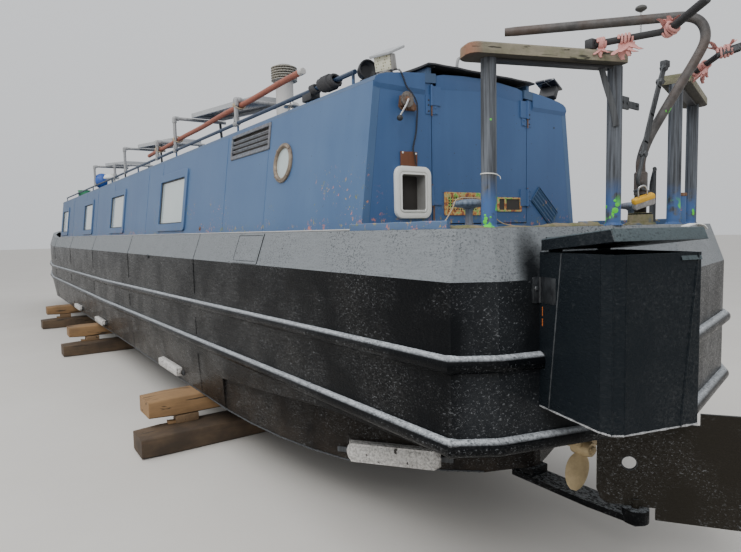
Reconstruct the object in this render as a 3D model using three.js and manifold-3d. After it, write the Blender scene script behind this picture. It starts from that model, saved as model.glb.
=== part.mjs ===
import * as THREE from 'three';
import { mergeVertices } from 'three/addons/utils/BufferGeometryUtils.js';
import Module from 'manifold-3d';

const wasm = await Module();
wasm.setup();

// Driving dimensions, in millimetres.
// The boat lies along X with its bow at +X, port side at +Y, and the ground at Z = 0.
// Station 0 is where the straight side meets the stern; heights are first given above the base plate.
const BEAM = 2080;
const BOW_TIP = 16200;
const STERN_TIP = -340;
const BASE_TO_GROUND = 380;
const GUNWALE = 1310;
const KNUCKLE = 1110;
const KNUCKLE_LEAN = 70;
const SIDE_TUCK = 30;
const WALL = 60;
const STRAKE_OUT = 32;
const STRAKE_HALF = 32;
const FLOOR_TOP = 140;
const GAP = 0.5;

const CABIN_AFT = 845;
const CABIN_FORE = 13060;
const BOW_START = 13060;
const CABIN_FOOT = 866;
const CABIN_EDGE = 772;
const ROOF_EDGE = 2068;
const ROOF_CROWN = 2168;
const CABIN_WALL = 45;
const SWIM_START = 2500;
const STERNPOST = 440;
const RUDDER_AXIS = -130;

const HALF = BEAM / 2;
// The frame's origin lies on the ground under this station, near the middle of the length.
const ORIGIN_STATION = 7750;

// Colours and finishes, one entry a material.
const FINISH = {
  blacking: { color: 0x0c0d0e, roughness: 0.3, metalness: 0.2 },
  blue: { color: 0x24436f, roughness: 0.55, metalness: 0.1 },
  roofPaint: { color: 0x2a4468, roughness: 0.6, metalness: 0.1 },
  darkSteel: { color: 0x2a2c2f, roughness: 0.6, metalness: 0.5 },
  greySteel: { color: 0x6d7072, roughness: 0.6, metalness: 0.4 },
  timber: { color: 0x7a5a38, roughness: 0.9, metalness: 0 },
  weathered: { color: 0x8a8474, roughness: 0.95, metalness: 0 },
  bronze: { color: 0xb08a50, roughness: 0.4, metalness: 0.9 },
  brass: { color: 0x9a7440, roughness: 0.45, metalness: 0.8 },
  glass: { color: 0xaab4b4, roughness: 0.1, metalness: 0 },
  engine: { color: 0x3f5b44, roughness: 0.6, metalness: 0.4 },
  moss: { color: 0x6d6a4e, roughness: 0.95, metalness: 0 },
  white: { color: 0xe8e8e2, roughness: 0.5, metalness: 0 },
  redBrown: { color: 0x8a4432, roughness: 0.8, metalness: 0 },
  black: { color: 0x17181a, roughness: 0.6, metalness: 0.1 },
  paleGrey: { color: 0x9a9c9c, roughness: 0.6, metalness: 0.2 },
  tan: { color: 0xa58a5c, roughness: 0.9, metalness: 0 },
};

// Solids: a closed geometry becomes a solid that can be joined and cut, and back again.
function toSolid(geometry) {
  const bare = geometry.index ? geometry.toNonIndexed() : geometry.clone();
  bare.deleteAttribute('normal');
  bare.deleteAttribute('uv');
  const merged = mergeVertices(bare, 1e-3);
  return new wasm.Manifold(new wasm.Mesh({
    numProp: 3,
    vertProperties: new Float32Array(merged.attributes.position.array),
    triVerts: new Uint32Array(merged.index.array),
  }));
}

function toGeometry(solid) {
  const mesh = solid.getMesh();
  const geometry = new THREE.BufferGeometry();
  geometry.setAttribute('position', new THREE.BufferAttribute(new Float32Array(mesh.vertProperties), 3));
  geometry.setIndex(new THREE.BufferAttribute(new Uint32Array(mesh.triVerts), 1));
  geometry.computeVertexNormals();
  return geometry;
}

const join = (...solids) => solids.reduce((sum, solid) => sum.add(solid));
const cut = (body, ...tools) => tools.reduce((rest, tool) => rest.subtract(tool), body);

function box(x0, x1, y0, y1, z0, z1) {
  const geometry = new THREE.BoxGeometry(x1 - x0, y1 - y0, z1 - z0);
  geometry.translate((x0 + x1) / 2, (y0 + y1) / 2, (z0 + z1) / 2);
  return toSolid(geometry);
}

function flatShape(points) {
  const shape = new THREE.Shape();
  points.forEach(([u, v], i) => (i ? shape.lineTo(u, v) : shape.moveTo(u, v)));
  shape.closePath();
  return shape;
}

// Prisms of an outline along Z, along X (outline in Y and Z) and along Y (outline in X and Z).
function prismZ(points, z0, z1) {
  const geometry = new THREE.ExtrudeGeometry(flatShape(points), { depth: z1 - z0, bevelEnabled: false });
  geometry.translate(0, 0, z0);
  return toSolid(geometry);
}

function prismX(points, x0, x1) {
  const geometry = new THREE.ExtrudeGeometry(flatShape(points), { depth: x1 - x0, bevelEnabled: false });
  const axes = new THREE.Matrix4().makeBasis(
    new THREE.Vector3(0, 1, 0), new THREE.Vector3(0, 0, 1), new THREE.Vector3(1, 0, 0));
  geometry.applyMatrix4(axes);
  geometry.translate(x0, 0, 0);
  return toSolid(geometry);
}

function prismY(points, y0, y1) {
  const flipped = points.map(([x, z]) => [z, x]);
  const geometry = new THREE.ExtrudeGeometry(flatShape(flipped), { depth: y1 - y0, bevelEnabled: false });
  const axes = new THREE.Matrix4().makeBasis(
    new THREE.Vector3(0, 0, 1), new THREE.Vector3(1, 0, 0), new THREE.Vector3(0, 1, 0));
  geometry.applyMatrix4(axes);
  geometry.translate(0, y0, 0);
  return toSolid(geometry);
}

const roundShape = (radius, sides) => flatShape(Array.from({ length: sides }, (_, i) => {
  const turn = (i / sides) * 2 * Math.PI;
  return [radius * Math.cos(turn), radius * Math.sin(turn)];
}));

// A round bar between two points.
function bar(from, to, radius, sides = 12) {
  const a = new THREE.Vector3(...from);
  const b = new THREE.Vector3(...to);
  const geometry = new THREE.CylinderGeometry(radius, radius, a.distanceTo(b), sides);
  const along = b.clone().sub(a).normalize();
  geometry.applyQuaternion(new THREE.Quaternion().setFromUnitVectors(new THREE.Vector3(0, 1, 0), along));
  const middle = a.add(b).multiplyScalar(0.5);
  geometry.translate(middle.x, middle.y, middle.z);
  return toSolid(geometry);
}

// A round tube or bar along a smooth curve through points.
function bentBar(points, radius, steps, sides = 10) {
  const path = new THREE.CatmullRomCurve3(points.map((p) => new THREE.Vector3(...p)), false, 'centripetal');
  return toSolid(new THREE.ExtrudeGeometry(roundShape(radius, sides), {
    steps, extrudePath: path, bevelEnabled: false,
  }));
}

// A body turned about the vertical through (x, y), from a profile of [radius, z].
function turned(profile, x, y, sides = 20) {
  const geometry = new THREE.LatheGeometry(profile.map(([r, z]) => new THREE.Vector2(r, z)), sides);
  geometry.rotateX(Math.PI / 2);
  geometry.translate(x, y, 0);
  return toSolid(geometry);
}

// A closed body through rings of the same count, capped by the triangles of one flat outline.
function loft(rings, capOutline) {
  const count = rings[0].length;
  const faces = [];
  for (let k = 0; k + 1 < rings.length; k += 1) {
    for (let i = 0; i < count; i += 1) {
      const j = (i + 1) % count;
      const [a, b, c, d] = [k * count + i, k * count + j, (k + 1) * count + j, (k + 1) * count + i];
      faces.push(a, b, c, a, c, d);
    }
  }
  const outline = capOutline.map(([u, v]) => new THREE.Vector2(u, v));
  const last = (rings.length - 1) * count;
  const clockwise = THREE.ShapeUtils.isClockWise(outline);
  THREE.ShapeUtils.triangulateShape(outline, []).forEach((corners) => {
    const [a, b, c] = clockwise ? [...corners].reverse() : corners;
    faces.push(c, b, a, last + a, last + b, last + c);
  });
  const geometry = new THREE.BufferGeometry();
  geometry.setAttribute('position', new THREE.Float32BufferAttribute(rings.flat(2), 3));
  geometry.setIndex(faces);
  let solid = toSolid(geometry);
  if (solid.volume() < 0) {
    geometry.setIndex(faces.map((_, n) => faces[n - (n % 3) + [0, 2, 1][n % 3]]));
    solid = toSolid(geometry);
  }
  return solid;
}

const mirrorY = (solid) => solid.mirror([0, 1, 0]);

// Hull lines: plan points of the port half from stern to stem, as [x, half breadth].
const STERN_PLAN = [[STERN_TIP, 0], [-100, 888], [0, HALF]];
const BOW_PLAN = [
  [BOW_START, HALF], [13800, 1010], [14600, 915], [15300, 690], [15800, 390], [16080, 140],
];

// Heights of the two rubbing strakes and of the counter's lower edge along the boat, as [x, z].
const UPPER_STRAKE = [[-400, 800], [0, 800], [3000, 750], [7000, 690], [BOW_START, 660], [16200, 800]];
const LOWER_STRAKE = [[-400, 482], [0, 480], [3000, 445], [7000, 405], [BOW_START, 400], [16200, 560]];
const COUNTER_EDGE = [[-400, 440], [0, 440], [1100, 395], [1650, 325], [2500, 245]];
const GUNWALE_LINE = [[-400, GUNWALE], [BOW_START, GUNWALE], [16200, GUNWALE + 230]];
const KNUCKLE_LINE = [[-400, KNUCKLE], [BOW_START, KNUCKLE], [16200, KNUCKLE + 190]];

function heightAt(table, x) {
  const next = table.findIndex(([at]) => at >= x);
  if (next <= 0) return table[Math.max(next, 0)][1];
  const [[x0, z0], [x1, z1]] = [table[next - 1], table[next]];
  return z0 + ((z1 - z0) * (x - x0)) / (x1 - x0);
}

// The direction that moves a plan corner inwards by one unit from both of its edges.
function inward(before, at, after) {
  const normal = ([ax, ay], [bx, by]) => {
    const length = Math.hypot(bx - ax, by - ay);
    return [(by - ay) / length, -(bx - ax) / length];
  };
  const first = normal(before, at);
  const second = normal(at, after);
  const scale = 1 + first[0] * second[0] + first[1] * second[1];
  return [(first[0] + second[0]) / scale, (first[1] + second[1]) / scale];
}

// Outer skin of a section as [inward distance, height], from its foot to the gunwale.
function skin(x, foot, footInset) {
  const upper = heightAt(UPPER_STRAKE, x);
  const lower = heightAt(LOWER_STRAKE, x);
  return [
    [footInset, foot],
    [0, lower - STRAKE_HALF],
    [-STRAKE_OUT, lower - STRAKE_HALF * 0.5],
    [-STRAKE_OUT, lower + STRAKE_HALF * 0.5],
    [0, lower + STRAKE_HALF],
    [0, upper - STRAKE_HALF],
    [-STRAKE_OUT, upper - STRAKE_HALF * 0.5],
    [-STRAKE_OUT, upper + STRAKE_HALF * 0.5],
    [0, upper + STRAKE_HALF],
    [0, heightAt(KNUCKLE_LINE, x)],
    [KNUCKLE_LEAN, heightAt(GUNWALE_LINE, x)],
  ];
}

const place = ([x, y], [mx, my], [d, z]) => [x + d * mx, y + d * my, z];

// Straight side walls, from the swim to the bow, with the gunwale's ledge for the cabin side.
const LEDGE = HALF - CABIN_FOOT + CABIN_WALL + 25;
function sideWall() {
  const section = (x) => [
    ...skin(x, 0, SIDE_TUCK),
    [LEDGE, heightAt(GUNWALE_LINE, x)],
    [LEDGE, heightAt(GUNWALE_LINE, x) - 45],
    [WALL, heightAt(GUNWALE_LINE, x) - 45],
    [WALL, 0],
  ];
  const stations = [SWIM_START + GAP, 7000, 11500, BOW_START];
  const rings = stations.map((x) => section(x).map((point) => place([x, HALF], [0, -1], point)));
  return loft(rings, section(stations[0]));
}

// Bow: walls round the stem, a forefoot floor and the fore end's closed deck.
function bowBody() {
  const port = BOW_PLAN.map(([x, y]) => [x + (x === BOW_START ? GAP : 0), y]);
  const stem = [BOW_TIP, 0];
  const outline = [...port, stem, ...port.map(([x, y]) => [x, -y]).reverse()];
  const directions = outline.map((point, i) => {
    if (i === 0) return [0, -1];
    if (i === outline.length - 1) return [0, 1];
    return inward(outline[i - 1], point, outline[i + 1]);
  });
  const levels = skin(BOW_START, 0, SIDE_TUCK).length;
  const rings = Array.from({ length: levels }, (_, level) => outline.map((point, i) => {
    const forward = Math.max(point[0] - BOW_START, 0) / (BOW_TIP - BOW_START);
    const rows = skin(Math.min(point[0], BOW_TIP), 0, SIDE_TUCK);
    const inset = level === 0 ? SIDE_TUCK + 260 * forward : rows[level][0];
    const limited = i === port.length ? Math.min(inset, 60) : inset;
    return place(point, directions[i], [limited, rows[level][1]]);
  }));
  return loft(rings, outline);
}

const WELL_AFT = CABIN_FORE - 50;
const WELL_FORE = 14700;
const WELL_FLOOR = 620;
function bowWell() {
  const outline = [
    [WELL_AFT, 900], [13900, 870], [WELL_FORE, 720], [WELL_FORE, -720], [13900, -870], [WELL_AFT, -900],
  ];
  return prismZ(outline, WELL_FLOOR, 2000);
}

// Stern: the counter block above its lower edge and the swim that narrows to the sternpost.
const SWIM_PLAN = [
  [SWIM_START, 1008], [2080, 985], [1700, 940], [1400, 880], [1130, 795], [700, 465], [550, 300],
  [STERNPOST, 25],
];
const bothSides = (half) => [...half, ...half.map(([x, y]) => [x, -y]).reverse()];
// Engine room in the stern: a wide upper part, a lower part between the swim's sides, and its open top.
const ROOM = {
  aft: CABIN_AFT - 400, fore: SWIM_START + 10, half: 900, floor: 520, top: GUNWALE - 60,
  openAft: CABIN_AFT + 60, openHalf: 810,
};
const LOWER_ROOM = [[ROOM.fore, 930], [2080, 900], [1700, 850], [1400, 790], [1130, 690]];
const SWIM_TOP = 450;
function sternBody() {
  const port = [[SWIM_START, HALF], [1650, HALF], [1100, HALF], ...STERN_PLAN.slice(1).reverse()];
  const outline = [...port, STERN_PLAN[0], ...port.map(([x, y]) => [x, -y]).reverse()];
  const directions = outline.map((point, i) => {
    if (i === 0) return [0, -1];
    if (i === outline.length - 1) return [0, 1];
    return inward(outline[i + 1], point, outline[i - 1]);
  });
  const levels = skin(0, 0, 0).length;
  const rings = Array.from({ length: levels }, (_, level) => outline.map((point, i) => {
    const rows = skin(point[0], heightAt(COUNTER_EDGE, point[0]), 0);
    return place(point, directions[i], rows[level]);
  }));
  const counter = loft(rings, outline);
  const swim = prismZ(bothSides(SWIM_PLAN), 0, SWIM_TOP);
  const upperRoom = box(ROOM.aft, ROOM.fore, -ROOM.half, ROOM.half, ROOM.floor, ROOM.top);
  const lowerRoom = prismZ(bothSides(LOWER_ROOM), FLOOR_TOP, ROOM.floor + 20);
  const openTop = box(ROOM.openAft, ROOM.fore, -ROOM.openHalf, ROOM.openHalf, ROOM.floor - 20, GUNWALE + 10);
  return cut(join(counter, swim), upperRoom, lowerRoom, openTop);
}

// Anodes: long pads welded to the lower hull, three on each side and one on each side of the swim.
const ANODE = { x: [3550, 7150, 9250], long: 600, z0: 45, z1: 125, out: 30, sunk: 3 };
const sideAt = (x, z) => HALF - SIDE_TUCK * (1 - z / (heightAt(LOWER_STRAKE, x) - STRAKE_HALF));
const anode = (x) => prismX([
  [sideAt(x, ANODE.z0) - ANODE.sunk, ANODE.z0], [sideAt(x, ANODE.z1) - ANODE.sunk, ANODE.z1],
  [HALF + ANODE.out, ANODE.z1 - 10], [HALF + ANODE.out, ANODE.z0 + 12],
], x, x + ANODE.long);
const sideWithAnodes = () => join(sideWall(), ...ANODE.x.map(anode));
const SWIM_ANODE = { from: SWIM_PLAN[4], to: SWIM_PLAN[5], thick: 55, z0: 20, z1: 125, taper: 34 };
function swimAnode() {
  const [[x0, y0], [x1, y1]] = [SWIM_ANODE.from, SWIM_ANODE.to];
  const length = Math.hypot(x1 - x0, y1 - y0);
  const [ux, uy] = [(x1 - x0) / length, (y1 - y0) / length];
  const at = (along, out) => [x0 + ux * along + uy * out, y0 + uy * along - ux * out];
  const outline = [
    at(6, -ANODE.sunk), at(length - 6, -ANODE.sunk), at(length - SWIM_ANODE.taper, SWIM_ANODE.thick),
    at(SWIM_ANODE.taper, SWIM_ANODE.thick),
  ];
  return prismZ(outline, SWIM_ANODE.z0, SWIM_ANODE.z1);
}

// Rear deck board, let into the counter's top over the engine room.
const DECK = { thick: 30, x0: 60, x1: CABIN_AFT - 5, half: 540 };
const deckPlate = (grow) => box(
  DECK.x0 - grow, DECK.x1 + grow, -DECK.half - grow, DECK.half + grow, GUNWALE - DECK.thick, GUNWALE);

const root = new THREE.Group();
root.position.set(-ORIGIN_STATION, 0, BASE_TO_GROUND);
function add(name, solid, finish) {
  const material = new THREE.MeshStandardMaterial(FINISH[finish]);
  const mesh = new THREE.Mesh(toGeometry(solid), material);
  mesh.name = name;
  root.add(mesh);
  return mesh;
}

// Hull, with the bearing pedestal that the rudder stock comes up through.
const STOCK = { radius: 26, top: 1440 };
const PEDESTAL = { radius: 52, top: GUNWALE + 52 };
const stockHole = bar([RUDDER_AXIS, 0, 300], [RUDDER_AXIS, 0, 1400], STOCK.radius + 1, 20);
const helmPedestal = () => cut(
  bar([RUDDER_AXIS, 0, GUNWALE - 5], [RUDDER_AXIS, 0, PEDESTAL.top], PEDESTAL.radius, 24), stockHole);
const PROP = { x: 150, z: 190, radius: 215, hub: 42, shaft: 18 };
const shaftHole = bar([300, 0, PROP.z], [700, 0, PROP.z], PROP.shaft + 1, 16);
// Skeg: a flat bar below the base plate on a heel block, with the cup that carries the rudder's pin.
const SKEG = {
  half: 70, top: -45, foot: -75, heelAft: 420, heelFore: 560, heelHalf: 60, cup: 60, cupTop: -12, pin: 18,
};
const skegOutline = bothSides([[SKEG.heelFore, SKEG.half], [80, SKEG.half], [-110, 52], [-172, 30]]);
const skegBar = cut(
  join(
    prismZ(skegOutline, SKEG.foot, SKEG.top),
    box(SKEG.heelAft, SKEG.heelFore, -SKEG.heelHalf, SKEG.heelHalf, SKEG.foot, -GAP),
    bar([RUDDER_AXIS, 0, SKEG.foot], [RUDDER_AXIS, 0, SKEG.cupTop], SKEG.cup, 24)),
  bar([RUDDER_AXIS, 0, -100], [RUDDER_AXIS, 0, 20], SKEG.pin + 1, 20));
const deckRecess = join(deckPlate(GAP), deckPlate(GAP).translate([0, 0, 20]));
const sternWithHoles = cut(sternBody(), stockHole, shaftHole, deckRecess);
add('hull_stern', join(sternWithHoles, swimAnode(), mirrorY(swimAnode()), helmPedestal()), 'blacking');
add('hull_side_port', sideWithAnodes(), 'blacking');
add('hull_side_starboard', mirrorY(sideWithAnodes()), 'blacking');
const FLOOR_HALF = HALF - WALL - 1;
add('hull_floor', box(SWIM_START + 1, BOW_START - 1, -FLOOR_HALF, FLOOR_HALF, 0, FLOOR_TOP), 'blacking');
add('hull_bow', cut(bowBody(), bowWell()), 'blacking');
add('skeg', skegBar, 'blacking');
const underDeck = box(0, CABIN_AFT, -DECK.half - 1, DECK.half + 1, 0, GUNWALE - DECK.thick + GAP);
add('rear_deck', cut(deckPlate(0), underDeck), 'moss');
const ENGINE = { x0: 1450, x1: 2250, half: 260, top: 800 };
add('engine', box(ENGINE.x0, ENGINE.x1, -ENGINE.half, ENGINE.half, FLOOR_TOP + GAP, ENGINE.top), 'engine');

// Cabin: leaning sides with their windows cut, ends with doorways, and a cambered roof.
const LEAN = (CABIN_FOOT - CABIN_EDGE) / (ROOF_EDGE - GUNWALE);
const WINDOW = { width: 930, height: 545, foot: 1365, x: [3830, 6480, 8910, 11890] };
const cabinSection = [
  [CABIN_FOOT, GUNWALE + GAP], [CABIN_EDGE, ROOF_EDGE - GAP],
  [CABIN_EDGE - CABIN_WALL, ROOF_EDGE - GAP], [CABIN_FOOT - CABIN_WALL, GUNWALE + GAP],
];
const PORTHOLE = { x: 1810, z: 1755, radius: 105 };
const VENT = { x0: 2040, x1: 2750, z0: 1872, z1: 2060 };
function cabinSide() {
  let side = prismX(cabinSection, CABIN_AFT, CABIN_FORE);
  WINDOW.x.forEach((x) => {
    side = cut(side, box(x, x + WINDOW.width, 500, 1100, WINDOW.foot, WINDOW.foot + WINDOW.height));
  });
  return cut(
    side,
    bar([PORTHOLE.x, 500, PORTHOLE.z], [PORTHOLE.x, 1100, PORTHOLE.z], PORTHOLE.radius, 24),
    box(VENT.x0, VENT.x1, 500, 1100, VENT.z0, VENT.z1));
}
add('cabin_side_port', cabinSide(), 'blue');
add('cabin_side_starboard', mirrorY(cabinSide()), 'blue');

// The plane of the cabin side at a height, measured out from its face.
const sideY = (z) => CABIN_FOOT - LEAN * (z - GUNWALE);
function leaningSlab(x0, x1, z0, z1, out, into) {
  return prismX([
    [sideY(z0) + out, z0], [sideY(z1) + out, z1], [sideY(z1) - into, z1], [sideY(z0) - into, z0],
  ], x0, x1);
}
// A window's flange laps its hole; its pane lies back in a frame.
const PANE = { flange: 20, out: 12, frame: 55, sunk: 8, back: 14 };
function windowUnit(x) {
  const x1 = x + WINDOW.width;
  const z1 = WINDOW.foot + WINDOW.height;
  const grown = (by, out, into) => leaningSlab(x - by, x1 + by, WINDOW.foot - by, z1 + by, out, into);
  const plug = grown(-1, 2, CABIN_WALL - 10);
  const flange = grown(PANE.flange, PANE.out, -GAP);
  const recess = grown(-PANE.frame, 30, PANE.sunk);
  const behind = grown(-PANE.frame, -PANE.back, CABIN_WALL);
  return cut(join(plug, flange), recess, behind);
}
WINDOW.x.forEach((x, i) => {
  add(`window_port_${i + 1}`, windowUnit(x), 'glass');
  add(`window_starboard_${i + 1}`, mirrorY(windowUnit(x)), 'glass');
});
// A body turned about the cabin side's own normal, from a profile of [radius, out].
const LEAN_ANGLE = Math.atan(LEAN);
function onSide(profile, x, z, sides = 24) {
  const geometry = new THREE.LatheGeometry(profile.map(([r, out]) => new THREE.Vector2(r, out)), sides);
  geometry.rotateX(LEAN_ANGLE);
  geometry.translate(x, sideY(z), z);
  return toSolid(geometry);
}
const portholeUnit = () => onSide([
  [0, -12], [98, -12], [98, 1], [128, 1], [128, 12], [108, 20], [90, 12], [90, -4], [0, -4],
], PORTHOLE.x, PORTHOLE.z);
add('porthole_port', portholeUnit(), 'brass');
add('porthole_starboard', mirrorY(portholeUnit()), 'brass');
const SLOT = { first: 20, pitch: 42, tall: 26, end: 25, sunk: 4 };
function ventUnit() {
  const body = leaningSlab(VENT.x0 + GAP, VENT.x1 - GAP, VENT.z0 + GAP, VENT.z1 - GAP, 8, CABIN_WALL - 10);
  const slots = [0, 1, 2, 3].map((n) => {
    const z = VENT.z0 + SLOT.first + n * SLOT.pitch;
    return leaningSlab(VENT.x0 + SLOT.end, VENT.x1 - SLOT.end, z, z + SLOT.tall, 30, SLOT.sunk);
  });
  return cut(body, ...slots);
}
add('louvre_port', ventUnit(), 'greySteel');
add('louvre_starboard', mirrorY(ventUnit()), 'greySteel');

// Roof: a cambered slab with rounded edges, its hatchway cut, and a grab rail along each side.
const ROOF_THICK = 50;
const SHOULDER = { y: 690, drop: 52 };
const camber = (y) => ROOF_CROWN - SHOULDER.drop * (y / SHOULDER.y) ** 2;
const ROOF_Y = [SHOULDER.y, 460, 230, 0];
const ROOF_CORNER = [[CABIN_EDGE, ROOF_EDGE], [764, 2088], [741, 2103]];
const acrossRoof = (half) => [...half, ...half.slice(0, -1).reverse().map(([y, z]) => [-y, z])];
const roofTop = acrossRoof([...ROOF_CORNER, ...ROOF_Y.map((y) => [y, camber(y)])]);
const UNDER_EDGE = CABIN_EDGE - CABIN_WALL;
const roofUnder = (drop) => acrossRoof([
  [UNDER_EDGE - drop, ROOF_EDGE - drop], ...ROOF_Y.map((y) => [y, camber(y) - ROOF_THICK - drop])]);
const HATCH = { half: 430, x0: CABIN_AFT, x1: CABIN_AFT + 800, thick: 22, travel: 700 };
const roofSlab = prismX([...roofTop, ...roofUnder(0).reverse()], CABIN_AFT - 8, CABIN_FORE + 60);
const RAIL = { y: 715, z: 2176, radius: 14, posts: 8, post: 9, inset: 250 };
function grabRail(side) {
  const y = side * RAIL.y;
  const x0 = CABIN_AFT + RAIL.inset;
  const x1 = CABIN_FORE - RAIL.inset;
  const posts = Array.from({ length: RAIL.posts }, (_, i) => {
    const x = x0 + 20 + ((x1 - x0 - 40) * i) / (RAIL.posts - 1);
    return bar([x, y, ROOF_EDGE + 20], [x, y, RAIL.z], RAIL.post, 8);
  });
  return join(bar([x0, y, RAIL.z], [x1, y, RAIL.z], RAIL.radius, 8), ...posts);
}
const hatchway = box(HATCH.x0 - 100, HATCH.x1 - 60, -HATCH.half + 70, HATCH.half - 70, 2000, 2300);
const RUNNER = { y: HATCH.half - 30, half: 12, top: ROOF_CROWN + 14 };
const runner = (side) => box(
  HATCH.x0, HATCH.x1 + HATCH.travel, side * RUNNER.y - RUNNER.half, side * RUNNER.y + RUNNER.half,
  2110, RUNNER.top);
add('roof', join(cut(roofSlab, hatchway), runner(1), runner(-1), grabRail(1), grabRail(-1)), 'roofPaint');
function hatchBody() {
  const under = RUNNER.top + GAP;
  return box(HATCH.x0 - 30, HATCH.x1, -HATCH.half, HATCH.half, under, under + HATCH.thick);
}
add('sliding_hatch', hatchBody(), 'black');

// Aft bulkhead in two panels and a threshold, with its pair of doors; the fore end is alike.
const DOOR = { half: 392, foot: GUNWALE + 26, thick: 38, play: 6, sideTop: 2084, middleTop: 2108 };
const HINGE = { barrel: 7.5, z: [1440, 1980], tall: 110, strap: 60 };
// Cat flap: a tunnel through the port half of the aft bulkhead behind a round-cornered frame.
const FLAP = { y: 531, z: 1508, wide: 246, tall: 278, inWide: 170, inTall: 196, out: 20, deep: 62, wall: 5 };
const BULKHEAD_THICK = 45;
const bulkheadFoot = CABIN_FOOT - CABIN_WALL - 1;
const bulkheadOutline = [
  [bulkheadFoot, GUNWALE + GAP], ...roofUnder(1), [-bulkheadFoot, GUNWALE + GAP],
];
const bulkhead = (x0) => cut(
  prismX(bulkheadOutline, x0, x0 + BULKHEAD_THICK),
  box(x0 - 10, x0 + 60, -DOOR.half, DOOR.half, DOOR.foot, 2300));
const flapHole = box(
  CABIN_AFT - 10, CABIN_AFT + 60,
  FLAP.y - FLAP.inWide / 2 - 1, FLAP.y + FLAP.inWide / 2 + 1,
  FLAP.z - FLAP.inTall / 2 - 1, FLAP.z + FLAP.inTall / 2 + 1);
add('aft_bulkhead', cut(bulkhead(CABIN_AFT), flapHole), 'blue');
// A door leaf with its hinge barrels, which turn against the bulkhead's outer face.
function doorLeaf(outerFace, outward) {
  const edge = DOOR.half - DOOR.play;
  const foot = DOOR.foot + DOOR.play;
  const outline = [[edge, foot], [edge, DOOR.sideTop], [4, DOOR.middleTop], [4, foot]];
  const inner = outerFace - outward * DOOR.thick;
  const leaf = prismX(outline, Math.min(inner, outerFace), Math.max(inner, outerFace));
  const axis = outerFace + outward * (HINGE.barrel + GAP);
  const hinges = HINGE.z.flatMap((z) => [
    bar([axis, DOOR.half, z], [axis, DOOR.half, z + HINGE.tall], HINGE.barrel, 12),
    box(
      Math.min(axis, outerFace), Math.max(axis, outerFace), edge - HINGE.strap, DOOR.half,
      z + 4, z + HINGE.tall - 4),
  ]);
  return join(leaf, ...hinges);
}
const aftDoor = doorLeaf(CABIN_AFT, -1);
add('aft_door_port', aftDoor, 'blue');
add('aft_door_starboard', mirrorY(aftDoor), 'blue');
add('fore_bulkhead', bulkhead(CABIN_FORE - BULKHEAD_THICK), 'blue');
const foreDoor = doorLeaf(CABIN_FORE, 1);
add('fore_door_port', foreDoor, 'blue');
add('fore_door_starboard', mirrorY(foreDoor), 'blue');

// Stern locker: a box hung on the port half of the transom, square to it, with a lid ajar.
// Its own frame has U along the transom to starboard and V straight out from it.
const LOCKER = { u0: -25, u1: 345, v1: 385, z0: 616, z1: 1215, wall: 8 };
const TRANSOM_ANGLE = Math.atan2(-100 - STERN_TIP, 888);
const LOCKER_AT = [-153, 690];
function fromTransom(u, v) {
  const s = [-Math.sin(TRANSOM_ANGLE), -Math.cos(TRANSOM_ANGLE)];
  const n = [-Math.cos(TRANSOM_ANGLE), Math.sin(TRANSOM_ANGLE)];
  return [LOCKER_AT[0] + u * s[0] + v * n[0], LOCKER_AT[1] + u * s[1] + v * n[1]];
}
function lockerShell(inset, z0, z1) {
  const { u0, u1, v1 } = LOCKER;
  const outline = [
    [u0 + inset, GAP + inset], [u0 + inset, v1 - 62], [u0 + 14 + inset, v1 - 16], [u0 + 52, v1 - inset],
    [u1 - inset, v1 - inset], [u1 - inset, GAP + inset],
  ].map(([u, v]) => fromTransom(u, v));
  return prismZ(outline, z0, z1);
}
const strakeNotch = () => {
  const z = heightAt(UPPER_STRAKE, 0);
  const corners = [[-60, -5], [-60, STRAKE_OUT + GAP], [400, STRAKE_OUT + GAP], [400, -5]]
    .map(([u, v]) => fromTransom(u, v));
  return prismZ(corners, z - STRAKE_HALF - GAP, z + STRAKE_HALF + GAP);
};
// The lid stands ajar: it rises from its hinge, whose barrel lies along the lid's upper rear edge.
const LID = {
  hinge: 14, axisZ: LOCKER.z1 + 50, barrel: 6, rear: 24, side: 14, over: 18, foot: 6, depth: 44, slope: 0.1,
};
// Hinge posts that stand up from the locker's back wall behind the barrel.
function hingePost(u) {
  const front = LID.hinge - LID.barrel - GAP;
  const outline = [[u, GAP], [u, front], [u + 60, front], [u + 60, GAP]].map(([a, v]) => fromTransom(a, v));
  return prismZ(outline, LOCKER.z1 - 10, LID.axisZ + 5);
}
const lockerBox = cut(
  lockerShell(0, LOCKER.z0, LOCKER.z1), lockerShell(LOCKER.wall, LOCKER.z0 + LOCKER.wall, LOCKER.z1 + 1),
  strakeNotch());
add('stern_locker', join(lockerBox, hingePost(LOCKER.u0 + 40), hingePost(LOCKER.u1 - 100)), 'blacking');
function lockerLid() {
  const { u0, u1, v1 } = LOCKER;
  const [left, right, outer] = [u0 - LID.side, u1 + LID.side, v1 + LID.over];
  const corners = [[left, LID.rear], [left, outer], [right, outer], [right, LID.rear]];
  const level = (z) => corners.map(([u, v]) => [...fromTransom(u, v), z + LID.slope * (v - LID.rear)]);
  const rings = [level(LOCKER.z1 + LID.foot), level(LOCKER.z1 + LID.foot + LID.depth)];
  const ends = [fromTransom(u0 + 20, LID.hinge), fromTransom(u1 - 20, LID.hinge)];
  const barrel = bar([...ends[0], LID.axisZ], [...ends[1], LID.axisZ], LID.barrel, 12);
  const leafOutline = [
    [u0 + 20, LID.hinge], [u0 + 20, LID.rear + 8], [u1 - 20, LID.rear + 8], [u1 - 20, LID.hinge],
  ].map(([u, v]) => fromTransom(u, v));
  const leaf = prismZ(leafOutline, LID.axisZ - 5, LID.axisZ - 1);
  return join(loft(rings, rings[0].map(([x, y]) => [x, y])), barrel, leaf);
}
add('locker_lid', lockerLid(), 'blacking');

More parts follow.
